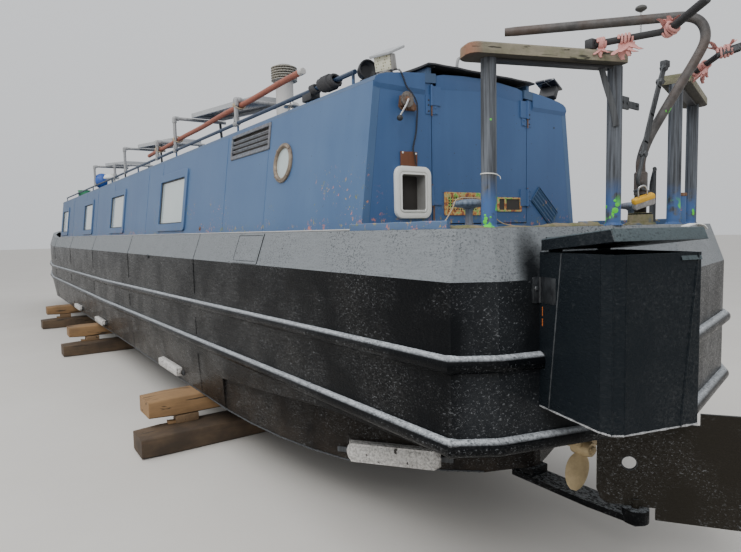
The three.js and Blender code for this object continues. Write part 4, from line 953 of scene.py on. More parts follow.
def window_outline(grown, radius):
    return round_rect(*(size + grown for size in WINDOW_SIZE), radius)


def windows(side):
    frames, seals, panes = Shape(), Shape(), Shape()
    outer, inner = window_outline(0.04, 0.045), window_outline(-0.11, 0.012)
    shoulder, lip = window_outline(0.032, 0.041), window_outline(-0.12, 0.008)
    seal = window_outline(-0.136, 0.006)
    for x in WINDOW_X:
        middle = side.at(x + WINDOW_SIZE[0] * 500, WINDOW_MIDDLE)
        frames.rows([side.outline(line, middle, out) for line, out in (
            (outer, 0.0005), (outer, 0.013), (shoulder, 0.016), (inner, 0.016), (inner, -0.01))], loop=True)
        seals.rows([side.outline(line, middle, out) for line, out in (
            (inner, -0.002), (lip, 0.004), (seal, -0.003), (seal, -0.008))], loop=True)
        panes.plate(inner, 0.005, middle - side.out * 0.011, *side.flat, bevel=0)
    nodes_there = [f"window_{side.name}_{n + 1}" for n in range(len(WINDOW_X))]
    frames.become(f"window_frames_{side.name}", "cabin_blue", stands_for=nodes_there)
    seals.become(f"window_seals_{side.name}", "black_plastic")
    panes.become(f"window_panes_{side.name}", "pane")


for side in SIDES:
    windows(side)

# %% [markdown]
# The porthole is a turned ring of tarnished brass with four dome nuts, round a pale pane. The louvre
# further forward is a folded grey-brown sheet with four slots and tilted slats, with a dark sheet of painted
# shade behind.

# %% Portholes
PORTHOLE = (1810, 1755)
RING = (
    (0.097, -0.008), (0.097, 0.006), (0.1, 0.012), (0.107, 0.018), (0.113, 0.0175), (0.118, 0.013),
    (0.126, 0.012), (0.128, 0.008), (0.128, 0.0006), (0.105, 0.0006))


def porthole(side):
    middle = side.at(*PORTHOLE)
    ring = Shape().turned(RING, middle, side.out, 48, loop=True)
    for turn in (pi / 4, pi * 3 / 4, pi * 5 / 4, pi * 7 / 4):
        nut = middle + 0.121 * (cos(turn) * side.along + sin(turn) * side.up) + 0.011 * side.out
        ring.turned([(0.0072, 0), (0.0072, 0.003), (0.005, 0.006), (0, 0.007)], nut, side.out, 10)
    ring.become(f"porthole_ring_{side.name}", "ring_brass", stands_for=f"porthole_{side.name}")
    disc = Shape().turned([(0.1, -0.006), (0.1, -0.001), (0, 0)], middle, side.out, 40)
    disc.become(f"porthole_pane_{side.name}", "pane")


for side in SIDES:
    porthole(side)

# %% Louvres
LOUVRE_MIDDLE, LOUVRE_WIDE, LOUVRE_TALL = (2395, 1966), 0.71, 0.188
LOUVRE_BORDER, SLOTS = 0.024, 4


def louvre(side):
    middle = side.at(*LOUVRE_MIDDLE)
    open_wide, open_tall = LOUVRE_WIDE - 2 * LOUVRE_BORDER, LOUVRE_TALL - 2 * LOUVRE_BORDER
    outer = round_rect(LOUVRE_WIDE - 0.002, LOUVRE_TALL - 0.002, 0.016)
    fold = round_rect(LOUVRE_WIDE - 0.01, LOUVRE_TALL - 0.01, 0.014)
    inner = round_rect(open_wide, open_tall, 0.006)
    form = loft([side.outline(line, middle, out) for line, out in (
        (outer, -0.004), (outer, 0.006), (fold, 0.0095), (inner, 0.0085), (inner, -0.004))], loop=True)
    tilted = (side.up * 0.86 + side.out * 0.5).normalized()
    foot, pitch = middle - side.up * open_tall / 2, open_tall / SLOTS
    form.slats(
        [foot + side.up * n * pitch + side.out * 0.002 for n in range(1, SLOTS)],
        (open_wide + 0.004, 0.02, 0.0025), (side.along, tilted, side.along.cross(tilted)), 0.0008)
    form.slats(
        [foot + side.up * (n + 0.12) * pitch + side.out * 0.005 for n in range(SLOTS)],
        (open_wide + 0.002, 0.007, 0.004), side.axes)
    form.become(f"louvre_frame_{side.name}", "louvre_grey", stands_for=f"louvre_{side.name}")
    # Painted shade: a dark sheet behind the slots stands for the unlit space behind them.
    back = Shape().plate(outer, 0.002, middle - side.out * 0.016, *side.flat, bevel=0)
    back.become(f"louvre_back_{side.name}", "room_dark")


for side in SIDES:
    louvre(side)

# %% [markdown]
# The side is made of plates joined by upright weld seams, ground almost flat and painted over. A
# seam is a thin ridge that wanders by a millimetre. A rusty bolt head shows low between two of them,
# and a narrow bead of filler runs along the foot of the whole cabin.

# %% Seams, a bolt and the foot bead
SEAMS = (2055, 2830, 4705, 5304, 7229, 8540, 9700, 11200, 12400)
SIDE_BOLT = (3372, 1358)


def seams(side):
    ridges = Shape()
    for n, x in enumerate(SEAMS):
        line = [side.at(x + 1.5 * sin(3.1 * k + n), 1318 + k * 37, 0.0002) for k in range(21)]
        ridges.bar(line, [0.0022 + 0.0006 * sin(1.7 * k * (n + 2)) for k in range(21)], 6)
    ridges.become(f"cabin_seams_{side.name}", "cabin_blue")
    filler = [side.at(848 + k * 203.5, 1315, 0.001 + 0.001 * sin(k * 2.3)) for k in range(61)]
    Shape().bar(filler, 0.0052, 6).become(f"foot_bead_{side.name}", "chimney_grey")
    bolt_at = side.at(*SIDE_BOLT)
    bolt = Shape().turned([(0.011, 0), (0.011, 0.005), (0.007, 0.009), (0, 0.01)], bolt_at, side.out, 6)
    bolt.turned([(0.02, 0), (0.02, 0.002), (0, 0.0025)], bolt_at, side.out, 20)
    bolt.become(f"side_bolt_{side.name}", "rusty_steel")


for side in SIDES:
    seams(side)

# %% [markdown]
# ## The after bulkhead
# The cabin's after end is upright, so its fittings are drawn from the stern: across to starboard, up,
# and out towards the tiller. `After` gives those directions, and a place on the bulkhead.

# %% The after plane
class After(Plane):
    """The after bulkhead, looked at from the stern."""

    def at(self, y, z, out=0.0):
        return at(845 - out * 1000, y, z)


after = After(-PORT, UP)
print("the after bulkhead stands at", round(after.at(0, 0).x, 3), "m")

# %% [markdown]
# The cat flap is one white moulding: a broad frame with round corners, a raised lip round the opening,
# and a tunnel behind it. It is a loft through a row of rounded outlines, each a little further
# in or out. The tunnel's walls are painted grey as painted shade inside the tunnel, and the flap at its end
# is a dark sheet of painted shade.

# %% Cat flap
FLAP = (531, 1508)
FLAP_FRAME = (
    (0.246, 0.278, 0.046, 0.0006), (0.246, 0.278, 0.046, 0.012), (0.24, 0.272, 0.044, 0.018),
    (0.232, 0.264, 0.042, 0.02), (0.196, 0.224, 0.03, 0.019), (0.19, 0.218, 0.028, 0.012),
    (0.182, 0.209, 0.022, 0.012), (0.178, 0.205, 0.018, 0.021), (0.166, 0.192, 0.014, 0.022),
    (0.161, 0.187, 0.012, 0.017), (0.161, 0.187, 0.012, 0.0006))
FLAP_TUNNEL = (
    (0.161, 0.187, 0.012, 0.016), (0.16, 0.186, 0.012, -0.058), (0.168, 0.194, 0.014, -0.058),
    (0.168, 0.194, 0.014, 0))


def flap_loft(levels):
    """A loft round the flap, from width, height, corner radius and distance out."""
    return loft([after.outline(round_rect(*size), after.at(*FLAP), out) for *size, out in levels], loop=True)


moulding = flap_loft(FLAP_FRAME)
for y in (632, 432):
    moulding.turned([(0.004, 0), (0.004, 0.002), (0, 0.003)], after.at(y, 1490, 0.019), after.out, 12)
moulding.become("cat_flap_frame", "white_plastic", stands_for="cat_flap")
# Painted shade: the tunnel's walls are painted grey.
flap_loft(FLAP_TUNNEL).become("cat_flap_tunnel", "tunnel_grey")
# Painted shade: a dark sheet at the tunnel's end stands for the unlit room.
Shape().plate(round_rect(0.162, 0.188, 0.012), 0.003, after.at(*FLAP, -0.058), *after.flat).become(
    "cat_flap_door", "room_dark")

# %% A board over the flap, held by two screws
Shape().plate(
    [(-0.054, -0.037), (0.054, -0.038), (0.055, 0.037), (0.02, 0.0385), (-0.02, 0.036), (-0.0545, 0.037)],
    0.011, after.at(555, 1686, 0.0006), *after.flat).become("flap_board", "flap_board")
screws = Shape()
for y, z in ((600, 1716), (511, 1714)):
    screws.turned(
        [(0.0055, 0), (0.0055, 0.002), (0.003, 0.0035), (0, 0.004)], after.at(y, z, 0.0115), after.out, 14)
screws.become("board_screws", "white_plastic")

# %% [markdown]
# The hand winch wound the sliding hatch or a mast line once. A folded bracket holds a short drum with a
# scalloped flange, rust has eaten the hub, and a bright crank ends in a black ball.

# %% Hand winch
WINCH, DRUM = (568, 1982), (590, 1984)
FLANGE_TEETH, FLANGE_RADIUS = 14, 0.0405

bracket = Shape().plate(
    [(-0.05, -0.03), (-0.028, -0.046), (0.06, -0.044), (0.062, -0.012), (0.03, 0.03), (-0.04, 0.028)], 0.004,
    after.at(*WINCH, 0.0008), *after.flat)
bracket.plate(
    [(-0.046, -0.026), (-0.02, -0.04), (0.05, -0.046), (0.05, -0.02), (0.02, 0.016), (-0.036, 0.022)], 0.003,
    after.at(*WINCH, 0.028), *after.flat)
bracket.bar([after.at(528, 1948, 0.001), after.at(530, 1950, 0.031)], 0.007, 8)
bracket.bar([after.at(606, 1960, 0.001), after.at(604, 1962, 0.031)], 0.006, 8)
bracket.turned(
    [(0.016, 0), (0.016, 0.02), (0.022, 0.024), (0.022, 0.03), (0, 0.03)], after.at(*WINCH, 0.004),
    after.out, 20)
bracket.become("winch_bracket", "rusty_steel", stands_for="hand_winch")
scallops = [(FLANGE_RADIUS + 0.0015 * cos(FLANGE_TEETH * a), a) for a in full_turn(8 * FLANGE_TEETH)]
disc = Shape().plate(
    [(r * cos(a), r * sin(a)) for r, a in scallops], 0.004, after.at(*DRUM, 0.044), *after.flat, bevel=0.0008)
disc.turned([(0.03, 0), (0.03, 0.014), (0.02, 0.016)], after.at(*DRUM, 0.028), after.out, 28)
disc.become("winch_disc", "winch_steel")
Shape().turned(
    [(0.019, 0), (0.017, 0.003), (0.011, 0.004), (0.011, 0.01), (0.004, 0.012), (0, 0.012)],
    after.at(*DRUM, 0.047), after.out, 6).become("winch_hub", "rusty_steel")
Shape().bar(
    [after.at(*DRUM, 0.054), after.at(610, 1950, 0.06), after.at(662, 1882, 0.066)],
    [0.0065, 0.0055, 0.005], 12).become("winch_crank", "bright_steel")
Shape().turned([
    (0.006, 0), (0.011, 0.003), (0.0145, 0.009), (0.0155, 0.016), (0.014, 0.023), (0.0105, 0.028),
    (0.005, 0.0305), (0, 0.031)], after.at(664, 1878, 0.06), after.out, 24).become(
    "winch_ball", "black_plastic")

# %% [markdown]
# A black twisted line is fixed to the port lamp's foot. It runs over the roof's edge, round the winch
# and down to the board, lying against the paint the whole way. Two strands wound round a
# common path give the twist; a fixed detail like this needs no slack.

# %% Twisted line from lamp to flap
STRAND, TWIST_PITCH = 0.0031, 0.031
OVER_THE_EDGE = ((888, 655, 2136), (866, 640, 2139), (845, 626, 2141), (832, 610, 2134))
DOWN_THE_END = (
    (590, 2100, 16), (568, 2060, 13), (546, 2022, 30), (524, 1990, 34), (512, 1962, 30), (500, 1936, 16),
    (497, 1894, 7), (500, 1850, 6), (506, 1815, 6), (518, 1772, 6), (528, 1734, 9), (526, 1710, 18.5),
    (521, 1680, 18.5), (516, 1652, 20))

path = smooth(*OVER_THE_EDGE, *((845 - out, y, z) for y, z, out in DOWN_THE_END), steps=24)
twist = Shape()
for phase in (0, pi):
    strand, run = [], 0.0
    for before, point, beyond in zip([path[0]] + path, path, path[1:] + [path[-1]]):
        run += (point - before).length
        side, up = across((beyond - before).normalized())
        a = phase + 2 * pi * run / TWIST_PITCH
        strand.append(point + STRAND * (cos(a) * side + sin(a) * up))
    twist.bar(strand, STRAND * 0.64, 6)
twist.become("twisted_line", "rope_black")

# %% [markdown]
# ## Doors
# Each leaf hangs on two hinges with bolted straps. Low on each leaf somebody cut an opening:
# a perforated vent to port and two square holes to starboard, both ringed by flaking layers of blue,
# orange and green paint. These ride on the doors, so they swing with them.

# %% Hinge straps and bolts
STRAP_BOLT = ((0.0055, 0), (0.0052, 0.003), (0.003, 0.0045), (0, 0.0047))


def strap(y, size, sign, z, bolted):
    """One half of a hinge: a flat strap and, where it is bolted, four bolts up it in a zigzag."""
    form = Shape().slats([after.at(sign * y, z + 55, 0.0022)], size, after.axes)
    for n in range(4 if bolted else 0):
        shift = (3 if n % 2 else -3) + (2 if y > 392 else -4)
        form.turned(STRAP_BOLT, after.at(sign * (y + shift), z + 12 + 28 * n, 0.0036), after.out, 10)
    return form


for sign, name in BOTH_SIDES:
    for level, z in (("low", 1440), ("high", 1930)):
        place = f"{name}_{level}"
        strap(413, (0.034, 0.104, 0.0034), sign, z, level == "low").become(f"hinge_plate_{place}", "end_blue")
        strap(364, (0.04, 0.1, 0.0034), sign, z, True).become(
            f"hinge_strap_{place}", "end_blue", body=f"aft_{name}_door")
        pin = [after.at(sign * 392, z + end, 0.008) for end in (-6, 116)]
        Shape().bar(pin, 0.0035, 8).become(f"hinge_pin_{place}", "rusty_steel")

# %% Vent and holes low on the doors
VENT, HOLES = (162, 1452), (-231, 1452)


def shade_patch(place, outline, name, body):
    """A thin dark sheet, painted shade, that stands for the opening."""
    form = Shape().plate(outline, 0.0006, after.at(*place, 0.0003), *after.flat, bevel=0)
    form.become(name, "room_dark", body=body)


def flaking_rim(place, outer, inner):
    return Shape().ring(round_rect(*outer), round_rect(*inner), 0.005, after.at(*place, 0.0005), *after.flat)


vent = flaking_rim(VENT, (0.282, 0.13, 0.006), (0.236, 0.088, 0.004))
y, z = VENT
uprights = [after.at(y + 114 - 19 * n, z, 0.002) for n in range(13)]
levels = [after.at(y, z - 40 + 16 * n, 0.0024) for n in range(6)]
vent.slats(uprights, (0.0075, 0.09, 0.003), after.axes, 0.0008)
vent.slats(levels, (0.238, 0.0065, 0.003), after.axes, 0.0008)
vent.become("door_vent", "flaking_paint", body="aft_port_door")
shade_patch(VENT, round_rect(0.24, 0.094, 0.004), "door_vent_dark", "aft_port_door")
surround = flaking_rim(HOLES, (0.216, 0.086, 0.005), (0.184, 0.066, 0.003))
surround.slats([after.at(-193, 1452, 0.003)], (0.016, 0.07, 0.005), after.axes)
surround.become("door_holes_rim", "flaking_paint", body="aft_starboard_door")
shade_patch(HOLES, round_rect(0.188, 0.07, 0.003), "door_holes", "aft_starboard_door")
Shape().plate(
    [(-0.006, -0.06), (0.005, -0.062), (0.007, 0), (0.004, 0.055), (-0.005, 0.05)], 0.0008,
    after.at(378, 1420, 0.0004), *after.flat, bevel=0).become(
    "door_edge_rust", "rusty_steel", body="aft_port_door")

# %% [markdown]
# A ribbed cover, once over one of those holes, leans loose on its corner against the bulkhead.
# Its sheet is pressed into five ridges, and its paint is the bulkhead's, dirtied and flecked.

# %% Loose ribbed cover
RIDGES, RIDGE_STEPS = 5, 40

lean = Plane(Vector((0, -0.7547, -0.6561)), Vector((0, -0.6561, 0.7547)))
middle = at(844.4, -560, 1440.5)
shares = [k / RIDGE_STEPS for k in range(RIDGE_STEPS + 1)]
top = [((t - 0.5) * 0.114, 0.0028 + 0.0045 * (0.5 - 0.5 * cos(2 * pi * RIDGES * t))) for t in shares]
cover = loft([
    [middle + a * lean.along + b * lean.up + lift * lean.out for b, lift in top]
    + [middle + a * lean.along + b * lean.up for b, lift in reversed(top)] for a in (-0.118, 0.118)])
for end in (-1, 1):
    cover.slats([middle + end * 0.0575 * lean.up + 0.004 * lean.out], (0.25, 0.004, 0.008), lean.axes)
    cover.slats([middle + end * 0.1215 * lean.along + 0.004 * lean.out], (0.006, 0.118, 0.008), lean.axes)
cover.become("ribbed_cover", "cover_blue", stands_for="loose_cover", crease=20)

# %% [markdown]
# The leaves reach up to the hatch, so each carries a head plate above the solid leaf, and the roof's
# after edge is faired into the bulkhead by a thin skin. Three dark bolt heads sit beside each
# upper hinge, in the bulkhead.

# %% Door heads, roof fairing and hinge bolts
DOOR_HEAD = ((0.004, 2.1), (0.352, 2.07), (0.352, 2.146), (0.3, 2.1565), (0.15, 2.169), (0.004, 2.1745))
FAIRING = (
    (438, 2146), (520, 2138), (620, 2126), (690, 2115), (725, 2106), (745, 2100), (762, 2088), (770, 2070))
HINGE_BOLT = ((0.0048, 0), (0.0048, 0.003), (0.003, 0.0045), (0, 0.0045))

for sign, name in BOTH_SIDES:
    outline = [(-sign * a, b) for a, b in DOOR_HEAD][::sign]
    Shape().plate(outline, 0.012, at(856.5, 0, 0), *after.flat).become(
        f"door_head_{name}", "end_blue", body=f"aft_{name}_door")
fairing, bolts = Shape(), Shape()
for sign in (-1, 1):
    rows = []
    for y, top in FAIRING:
        foot = 2034 if y < 760 else 2040
        rows.append([after.at(sign * y, z, out) for z, out in (
            (foot, 0.0004), (foot + 24, 0.0092), (max(top - 3, foot + 26), 0.0092),
            (max(top, foot + 28), 0.007), (foot + 24, 0.0015))])
    fairing.rows(rows)
    for z in (1950, 1982, 2008):
        bolts.turned(HINGE_BOLT, after.at(sign * 411, z, 0.0037), after.out, 6)
fairing.become("roof_fairing", "end_blue", crease=15)
bolts.turned([(0.006, 0), (0.005, 0.0015), (0, 0.002)], after.at(-656, 1949, 0.0003), after.out, 12)
bolts.become("hinge_bolts", "room_dark")

# %% [markdown]
# The hatch is a plain black sheet with its edges bent down and dog-eared by use. It overhangs the
# doors a little. It slides, so it rides on its own body, and it stays a thin even sheet over the runners.

# %% Sliding hatch
HATCH_AFT, HATCH_FORE, HATCH_HALF, HATCH_FOOT, HATCH_THICK = 815, 1645, 430, 2182.5, 22


def hatch_row(i, steps=12, across_steps=16):
    """One row round the sheet: its top from port to starboard, and its underside back."""
    x = HATCH_AFT + (HATCH_FORE - HATCH_AFT) * i / steps
    top, under = [], []
    for j in range(across_steps + 1):
        y = HATCH_HALF * (1 - 2 * j / across_steps)
        edge = max(abs(y) / HATCH_HALF - 0.9, 0) * 10
        dog_ear = 0 if i else 3 * abs(sin(j * 0.8))
        level = HATCH_FOOT + HATCH_THICK - 1 - 6 * edge ** 2 * (1 + 0.3 * sin(i * 1.3 + j)) - dog_ear
        top.append(at(x, y, level))
        under.append(at(x, y, max(level - (12 if i else 9), HATCH_FOOT)))
    return top + under[::-1]


loft([hatch_row(i) for i in range(13)]).become(
    "hatch_sheet", "black_plastic", body="hatch", stands_for="sliding_hatch")
runners = Shape()
for y in (-372, 372):
    runners.bar([at(x, y, HATCH_FOOT + 4) for x in (HATCH_AFT + 20, HATCH_FORE - 10)], 0.0035, 8)
runners.become("hatch_runners", "dark_steel", body="hatch")

# %% [markdown]
# ## The rear deck: posts, planks and padded rods
# On each side two steel posts carry a plank to sit on. The posts are smooth tubes with a welded foot
# ring; each pair's numbers give the plank's direction. Starboard is the mirror image, set 20 mm
# further forward and 18 mm further in, as it stands on the boat.

# %% Posts
POSTS = ((20, 812), (-168, 270))
POST_TOP, PLANK_THICK, DECK = 1958, 46, 1310.5
FOOT_RING = ((0.029, 0), (0.038, 0), (0.037, 0.004), (0.032, 0.007), (0.0305, 0.012), (0.029, 0.012))


def on_side(sign, x, y, z):
    """A place by its port numbers, or by the matching ones to starboard."""
    return at(x, y, z) if sign > 0 else at(x + 20, -y + 18, z)


for sign, name in BOTH_SIDES:
    form, feet = Shape(), Shape()
    for post in POSTS:
        form.bar([on_side(sign, *post, z) for z in (DECK, 1420, 1600, 1800, POST_TOP)], 0.03, 32)
        feet.turned(FOOT_RING, on_side(sign, *post, DECK), loop=True)
    start, end = (on_side(sign, *post, POST_TOP - 5) for post in POSTS)
    ahead = (end - start).normalized()
    Shape().slats(
        [(start + end) / 2], ((end - start).length, 0.04, 0.0095), (ahead, UP.cross(ahead), UP)
    ).become(f"plank_bearer_{name}", "black_plastic")
    form.become(f"posts_{name}", "post_steel", stands_for=f"taffrail_{name}")
    feet.become(f"post_feet_{name}", "post_steel")

# %% Touch-up paint and a cable tie on the port posts
GREEN_DRIPS = (
    (14, 842, 1334, 0.0095), (10, 842, 1347, 0.008), (13, 842, 1360, 0.005), (-6, 830, 1352, 0.004),
    (-4, 826, 1724, 0.0045), (-190, 291, 1372, 0.013), (-194, 284, 1395, 0.009), (-189, 292, 1412, 0.006),
    (-150, 296, 1388, 0.008))

drips = Shape()
for x, y, z, r in GREEN_DRIPS:
    post = POSTS[0] if y > 500 else POSTS[1]
    out = Vector((x - post[0], y - post[1], 0)).normalized()
    drop = [(r, 0), (r * 0.9, 0.0011), (r * 0.5, 0.0017), (0, 0.0018)]
    drips.turned(drop, at(*post, z) + out * 0.0292, out, 12)
drips.become("green_drips", "touch_up_green")
tie = Shape().bar(
    [at(*POSTS[0], 1518 + 3 * sin(a)) + 0.0315 * Vector((cos(a), sin(a), 0)) for a in full_turn(36)],
    0.0022, 6, loop=True)
tie.bar([at(-6, 794, 1517), at(-13, 784, 1508), at(-13, 782, 1499)], 0.0014, 6)
tie.become("cable_tie", "white_plastic")

# %% [markdown]
# Each plank is one thick board with an eased top edge and a rounded outer end, weathered silver above,
# with painted shade on its underside. Its outline is taken along the line of the posts and lofted through six
# levels, so the edge has a real round to catch the light.

# %% Seat planks
PLANK_HALF, PLANK_CORNER, PLANK_BEYOND = 0.062, 0.042, (0.105, 0.014)


def plank_outline(span, inset):
    """Outline along the posts' line: square at the inner post, and rounded beyond the outer one."""
    points = []
    for right, left, first in ((1, 1, 0), (0, 1, 90), (0, -1, 180), (1, -1, 270)):
        corner = 0.004 if right else PLANK_CORNER
        cx = span + PLANK_BEYOND[1] - corner if right else corner - PLANK_BEYOND[0]
        radius = max(corner - inset * 0.999, 0.0004)
        for a in (math.radians(first + 90 * k / 8) for k in range(9)):
            points.append((cx + radius * cos(a), left * (PLANK_HALF - corner) + radius * sin(a)))
    return points


for sign, name in BOTH_SIDES:
    start, end = (on_side(sign, *post, POST_TOP + 0.6) for post in POSTS)
    ahead, span, tall = (end - start).normalized(), (end - start).length, (PLANK_THICK - 0.6) / 1000
    rows = []
    for inset, lift in (
            (0.003, 0), (0, 0.003), (0, tall - 0.009), (0.0015, tall - 0.004),
            (0.0055, tall - 0.0006), (0.008, tall)):
        warp = 0.0006 if 0 < lift < tall * 0.99 else 0
        rows.append([
            start + a * ahead + b * UP.cross(ahead) + (lift + warp * sin(31 * a)) * UP
            for a, b in plank_outline(span, inset)])
    loft(rows).become(f"plank_{name}", "seat_wood", stands_for=f"seat_plank_{name}", crease=40)

# %% [markdown]
# A thin rod stands out from each plank with a thicker one taped to its end, both sleeved in black foam.
# Pink foam strip is wound round the joints, and its tails hang loose. A winding is a helix of a
# flat strip; a tail is three torn ribbons that curl.

# %% Rods
ARM_FOOT, ARM_BEND, ARM_SLEEVE, ARM_END = (-160, 424), (-375, 250, 2047), (-355, 241, 2042), (-556, 332, 2090)
PLANK_TOP = POST_TOP + PLANK_THICK


def foam_wrap(form, start, end, first, share, radius, strip, wobble, turns=4):
    """A strip wound round part of a rod: a fat flat helix."""
    steps = turns * 16
    line, radii = [], []
    side, up = across((end - start).normalized())
    for k in range(steps + 1):
        a = 2 * pi * turns * k / steps
        grown = radius + wobble * sin(2.3 * a + 1)
        line.append(start.lerp(end, first + share * k / steps) + grown * (cos(a) * side + sin(a) * up))
        radii.append(strip * (0.85 + 0.15 * sin(1.7 * a)))
    form.bar(line, radii, 8)


def tail(form, root, down, out, size):
    """A loose end of foam strip, torn into three ribbons that curl."""
    side = out.cross(down).normalized()
    for n, (lean, long, curl) in enumerate(((-0.55, 0.8, 0.3), (0.05, 1.0, -0.2), (0.65, 0.7, 0.2))):
        rows = []
        for t in (k / 8 for k in range(9)):
            half = size * 0.24 * (1 - 0.4 * t) * (1 + 0.25 * sin(11 * t + n))
            middle = root + down * size * long * t + out * size * (0.25 * t + curl * t * t)
            middle = middle + side * size * (lean * t + 0.1 * sin(5 * t + n))
            rows.append([middle + side * half * across_it + out * 0.0034 * lift for across_it, lift in (
                (-1, 1), (-0.5, 1.5), (0.5, 1.5), (1, 1), (1, -1), (-1, -1))])
        form.rows(rows)


def padded_rods(sign, name):
    foot = on_side(sign, *ARM_FOOT, PLANK_TOP + 20)
    bend, sleeve, end = (on_side(sign, *place) for place in (ARM_BEND, ARM_SLEEVE, ARM_END))
    rods = Shape().bar([foot, foot.lerp(bend, 0.5), bend], 0.013, 20)
    rods.bar([sleeve.lerp(end, share) for share in (0, 0.02, 0.98, 1)], [0.0135, 0.0155, 0.0155, 0.0135], 20)
    rods.become(f"foam_rods_{name}", "foam_black", stands_for=f"padded_arm_{name}")
    clamp = Shape().block(on_side(sign, *ARM_FOOT, PLANK_TOP + 21), (0.036, 0.036, 0.041), None, 0.005)
    clamp.bar([foot - Vector((0.02, 0, -0.006)), foot + Vector((0.02, 0, 0.006))], 0.005, 8)
    clamp.become(f"rod_block_{name}", "black_plastic")
    pink = Shape()
    foam_wrap(pink, foot, bend, 0.09, 0.1, 0.018, 0.0062, 0.0015)
    foam_wrap(pink, foot, bend, 0.36, 0.18, 0.0165, 0.0058, 0.002)
    foam_wrap(pink, sleeve, end, 0.02, 0.24, 0.0205, 0.0068, 0.003)
    outward = (bend - foot).cross(UP).normalized()
    for share, size, lean in ((0.13, 0.04, 0.2), (0.42, 0.062, -0.1), (0.5, 0.055, 0.3), (0.52, 0.045, -0.4)):
        root = foot.lerp(bend, share) - UP * 0.016
        tail(pink, root, (-UP + outward * lean * 0.4).normalized(), outward, size)
    for share, size, lean in ((0.05, 0.05, 0.8), (0.2, 0.045, -0.9)):
        root = sleeve.lerp(end, share) + UP * 0.014
        tail(pink, root, (UP * 0.75 + outward * lean).normalized(), outward, size)
    pink.become(f"pink_foam_{name}", "foam_pink", crease=60)


for sign, name in BOTH_SIDES:
    padded_rods(sign, name)

# %% Black clamp with holes on the starboard rod
clamp_at = on_side(-1, -395, 258, 2052)
clamp_along = (on_side(-1, *ARM_END) - on_side(-1, *ARM_SLEEVE)).normalized()
clamp_side = UP.cross(clamp_along).normalized()
clamp_up = clamp_along.cross(clamp_side)
clamp = Shape().slats(
    [clamp_at + clamp_side * 0.0195 * shift - clamp_up * 0.006 for shift in (-1, 1)], (0.09, 0.005, 0.022),
    (clamp_along, clamp_side, clamp_up), 0.0015)
for n in range(4):
    middle = clamp_at + clamp_along * (0.026 * n - 0.036) - clamp_up * 0.008
    clamp.bar([middle - clamp_side * 0.025, middle + clamp_side * 0.025], 0.0045, 8)
clamp.become("rod_clamp", "dark_steel")

# %% [markdown]
# ## Tiller
# The swan neck rises from the rudder stock, sweeps aft, and doubles back over the deck. It is a
# single tube along a smooth curve, drawn for a straight helm and then turned with it by 37.5 degrees. A
# loose pin with a round knob stands through it.

# %% Tiller
HELM_ANGLE, RUDDER_X = math.radians(37.5), -130
HELM_SIDE = Vector((-sin(HELM_ANGLE), cos(HELM_ANGLE), 0))
NECK = (
    (0, 1440.4), (0, 1530), (0, 1600), (-27, 1687), (-81, 1792), (-150, 1914), (-205, 2010), (-240, 2085),
    (-240, 2140), (-215, 2180), (-170, 2200), (-100, 2206), (95, 2212), (350, 2220), (595, 2228))


def helm_at(x, y, z):
    """A place drawn for a straight helm, turned with the rudder."""
    c, s = cos(HELM_ANGLE), sin(HELM_ANGLE)
    return at(RUDDER_X + x * c - y * s, x * s + y * c, z)


path = rounded([helm_at(x, 0, z) for x, z in NECK], 5)
tube = Shape().bar(path, [0.0205] * (len(path) - 1) + [0.0185], 28)
tube.bar([helm_at(0, 0, z) for z in (1441, 1447, 1540, 1547)], [0.0245, 0.0285, 0.0285, 0.0235], 28)
bolt_at = helm_at(0, 0, 1500)
tube.bar([bolt_at - HELM_SIDE * 0.037, bolt_at + HELM_SIDE * 0.036], 0.006, 10)
for way in (-HELM_SIDE, HELM_SIDE):
    tube.turned([(0.0105, 0), (0.0105, 0.007), (0.006, 0.009)], bolt_at + way * 0.028, way, 6)
tube.become("tiller_tube", "tiller_steel", body="helm", stands_for="tiller")
pin = Shape().bar([helm_at(10, 0, z) for z in (2146, 2246)], 0.0035, 12)
pin.turned([(0.0055, 0), (0.0055, 0.003), (0.0035, 0.004)], helm_at(10, 0, 2146), UP, 12)
pin.become("tiller_pin", "bright_steel", body="helm")
Shape().turned([
    (0.006, 0), (0.008, 0.004), (0.018, 0.008), (0.024, 0.0135), (0.0245, 0.018), (0.022, 0.0235),
    (0.014, 0.028), (0.004, 0.03), (0, 0.03)], helm_at(10, 0, 2242)).become(
    "tiller_knob", "hat_dark", body="helm")

# %% [markdown]
# Where the stock comes up through the deck there is a raised bearing, furred with moss. A yellow and
# grey padlock hangs from its shackle on the neck's foot, over a rusty clip.

# %% Bearing and padlock
bearing = Shape().turned([
    (0.0275, 0), (0.066, 0), (0.065, 0.006), (0.054, 0.01), (0.0525, 0.045), (0.048, 0.0535),
    (0.0275, 0.0545)], at(RUDDER_X, 0, 1310.3), UP, 36, loop=True)
for a in (turn + math.radians(12) for turn in full_turn(6)):
    nut = at(RUDDER_X + 59.5 * cos(a), 59.5 * sin(a), 1316)
    bearing.turned([(0.006, 0), (0.006, 0.004), (0.003, 0.006)], nut, UP, 6)
bearing.become("stock_bearing", "deck_moss")

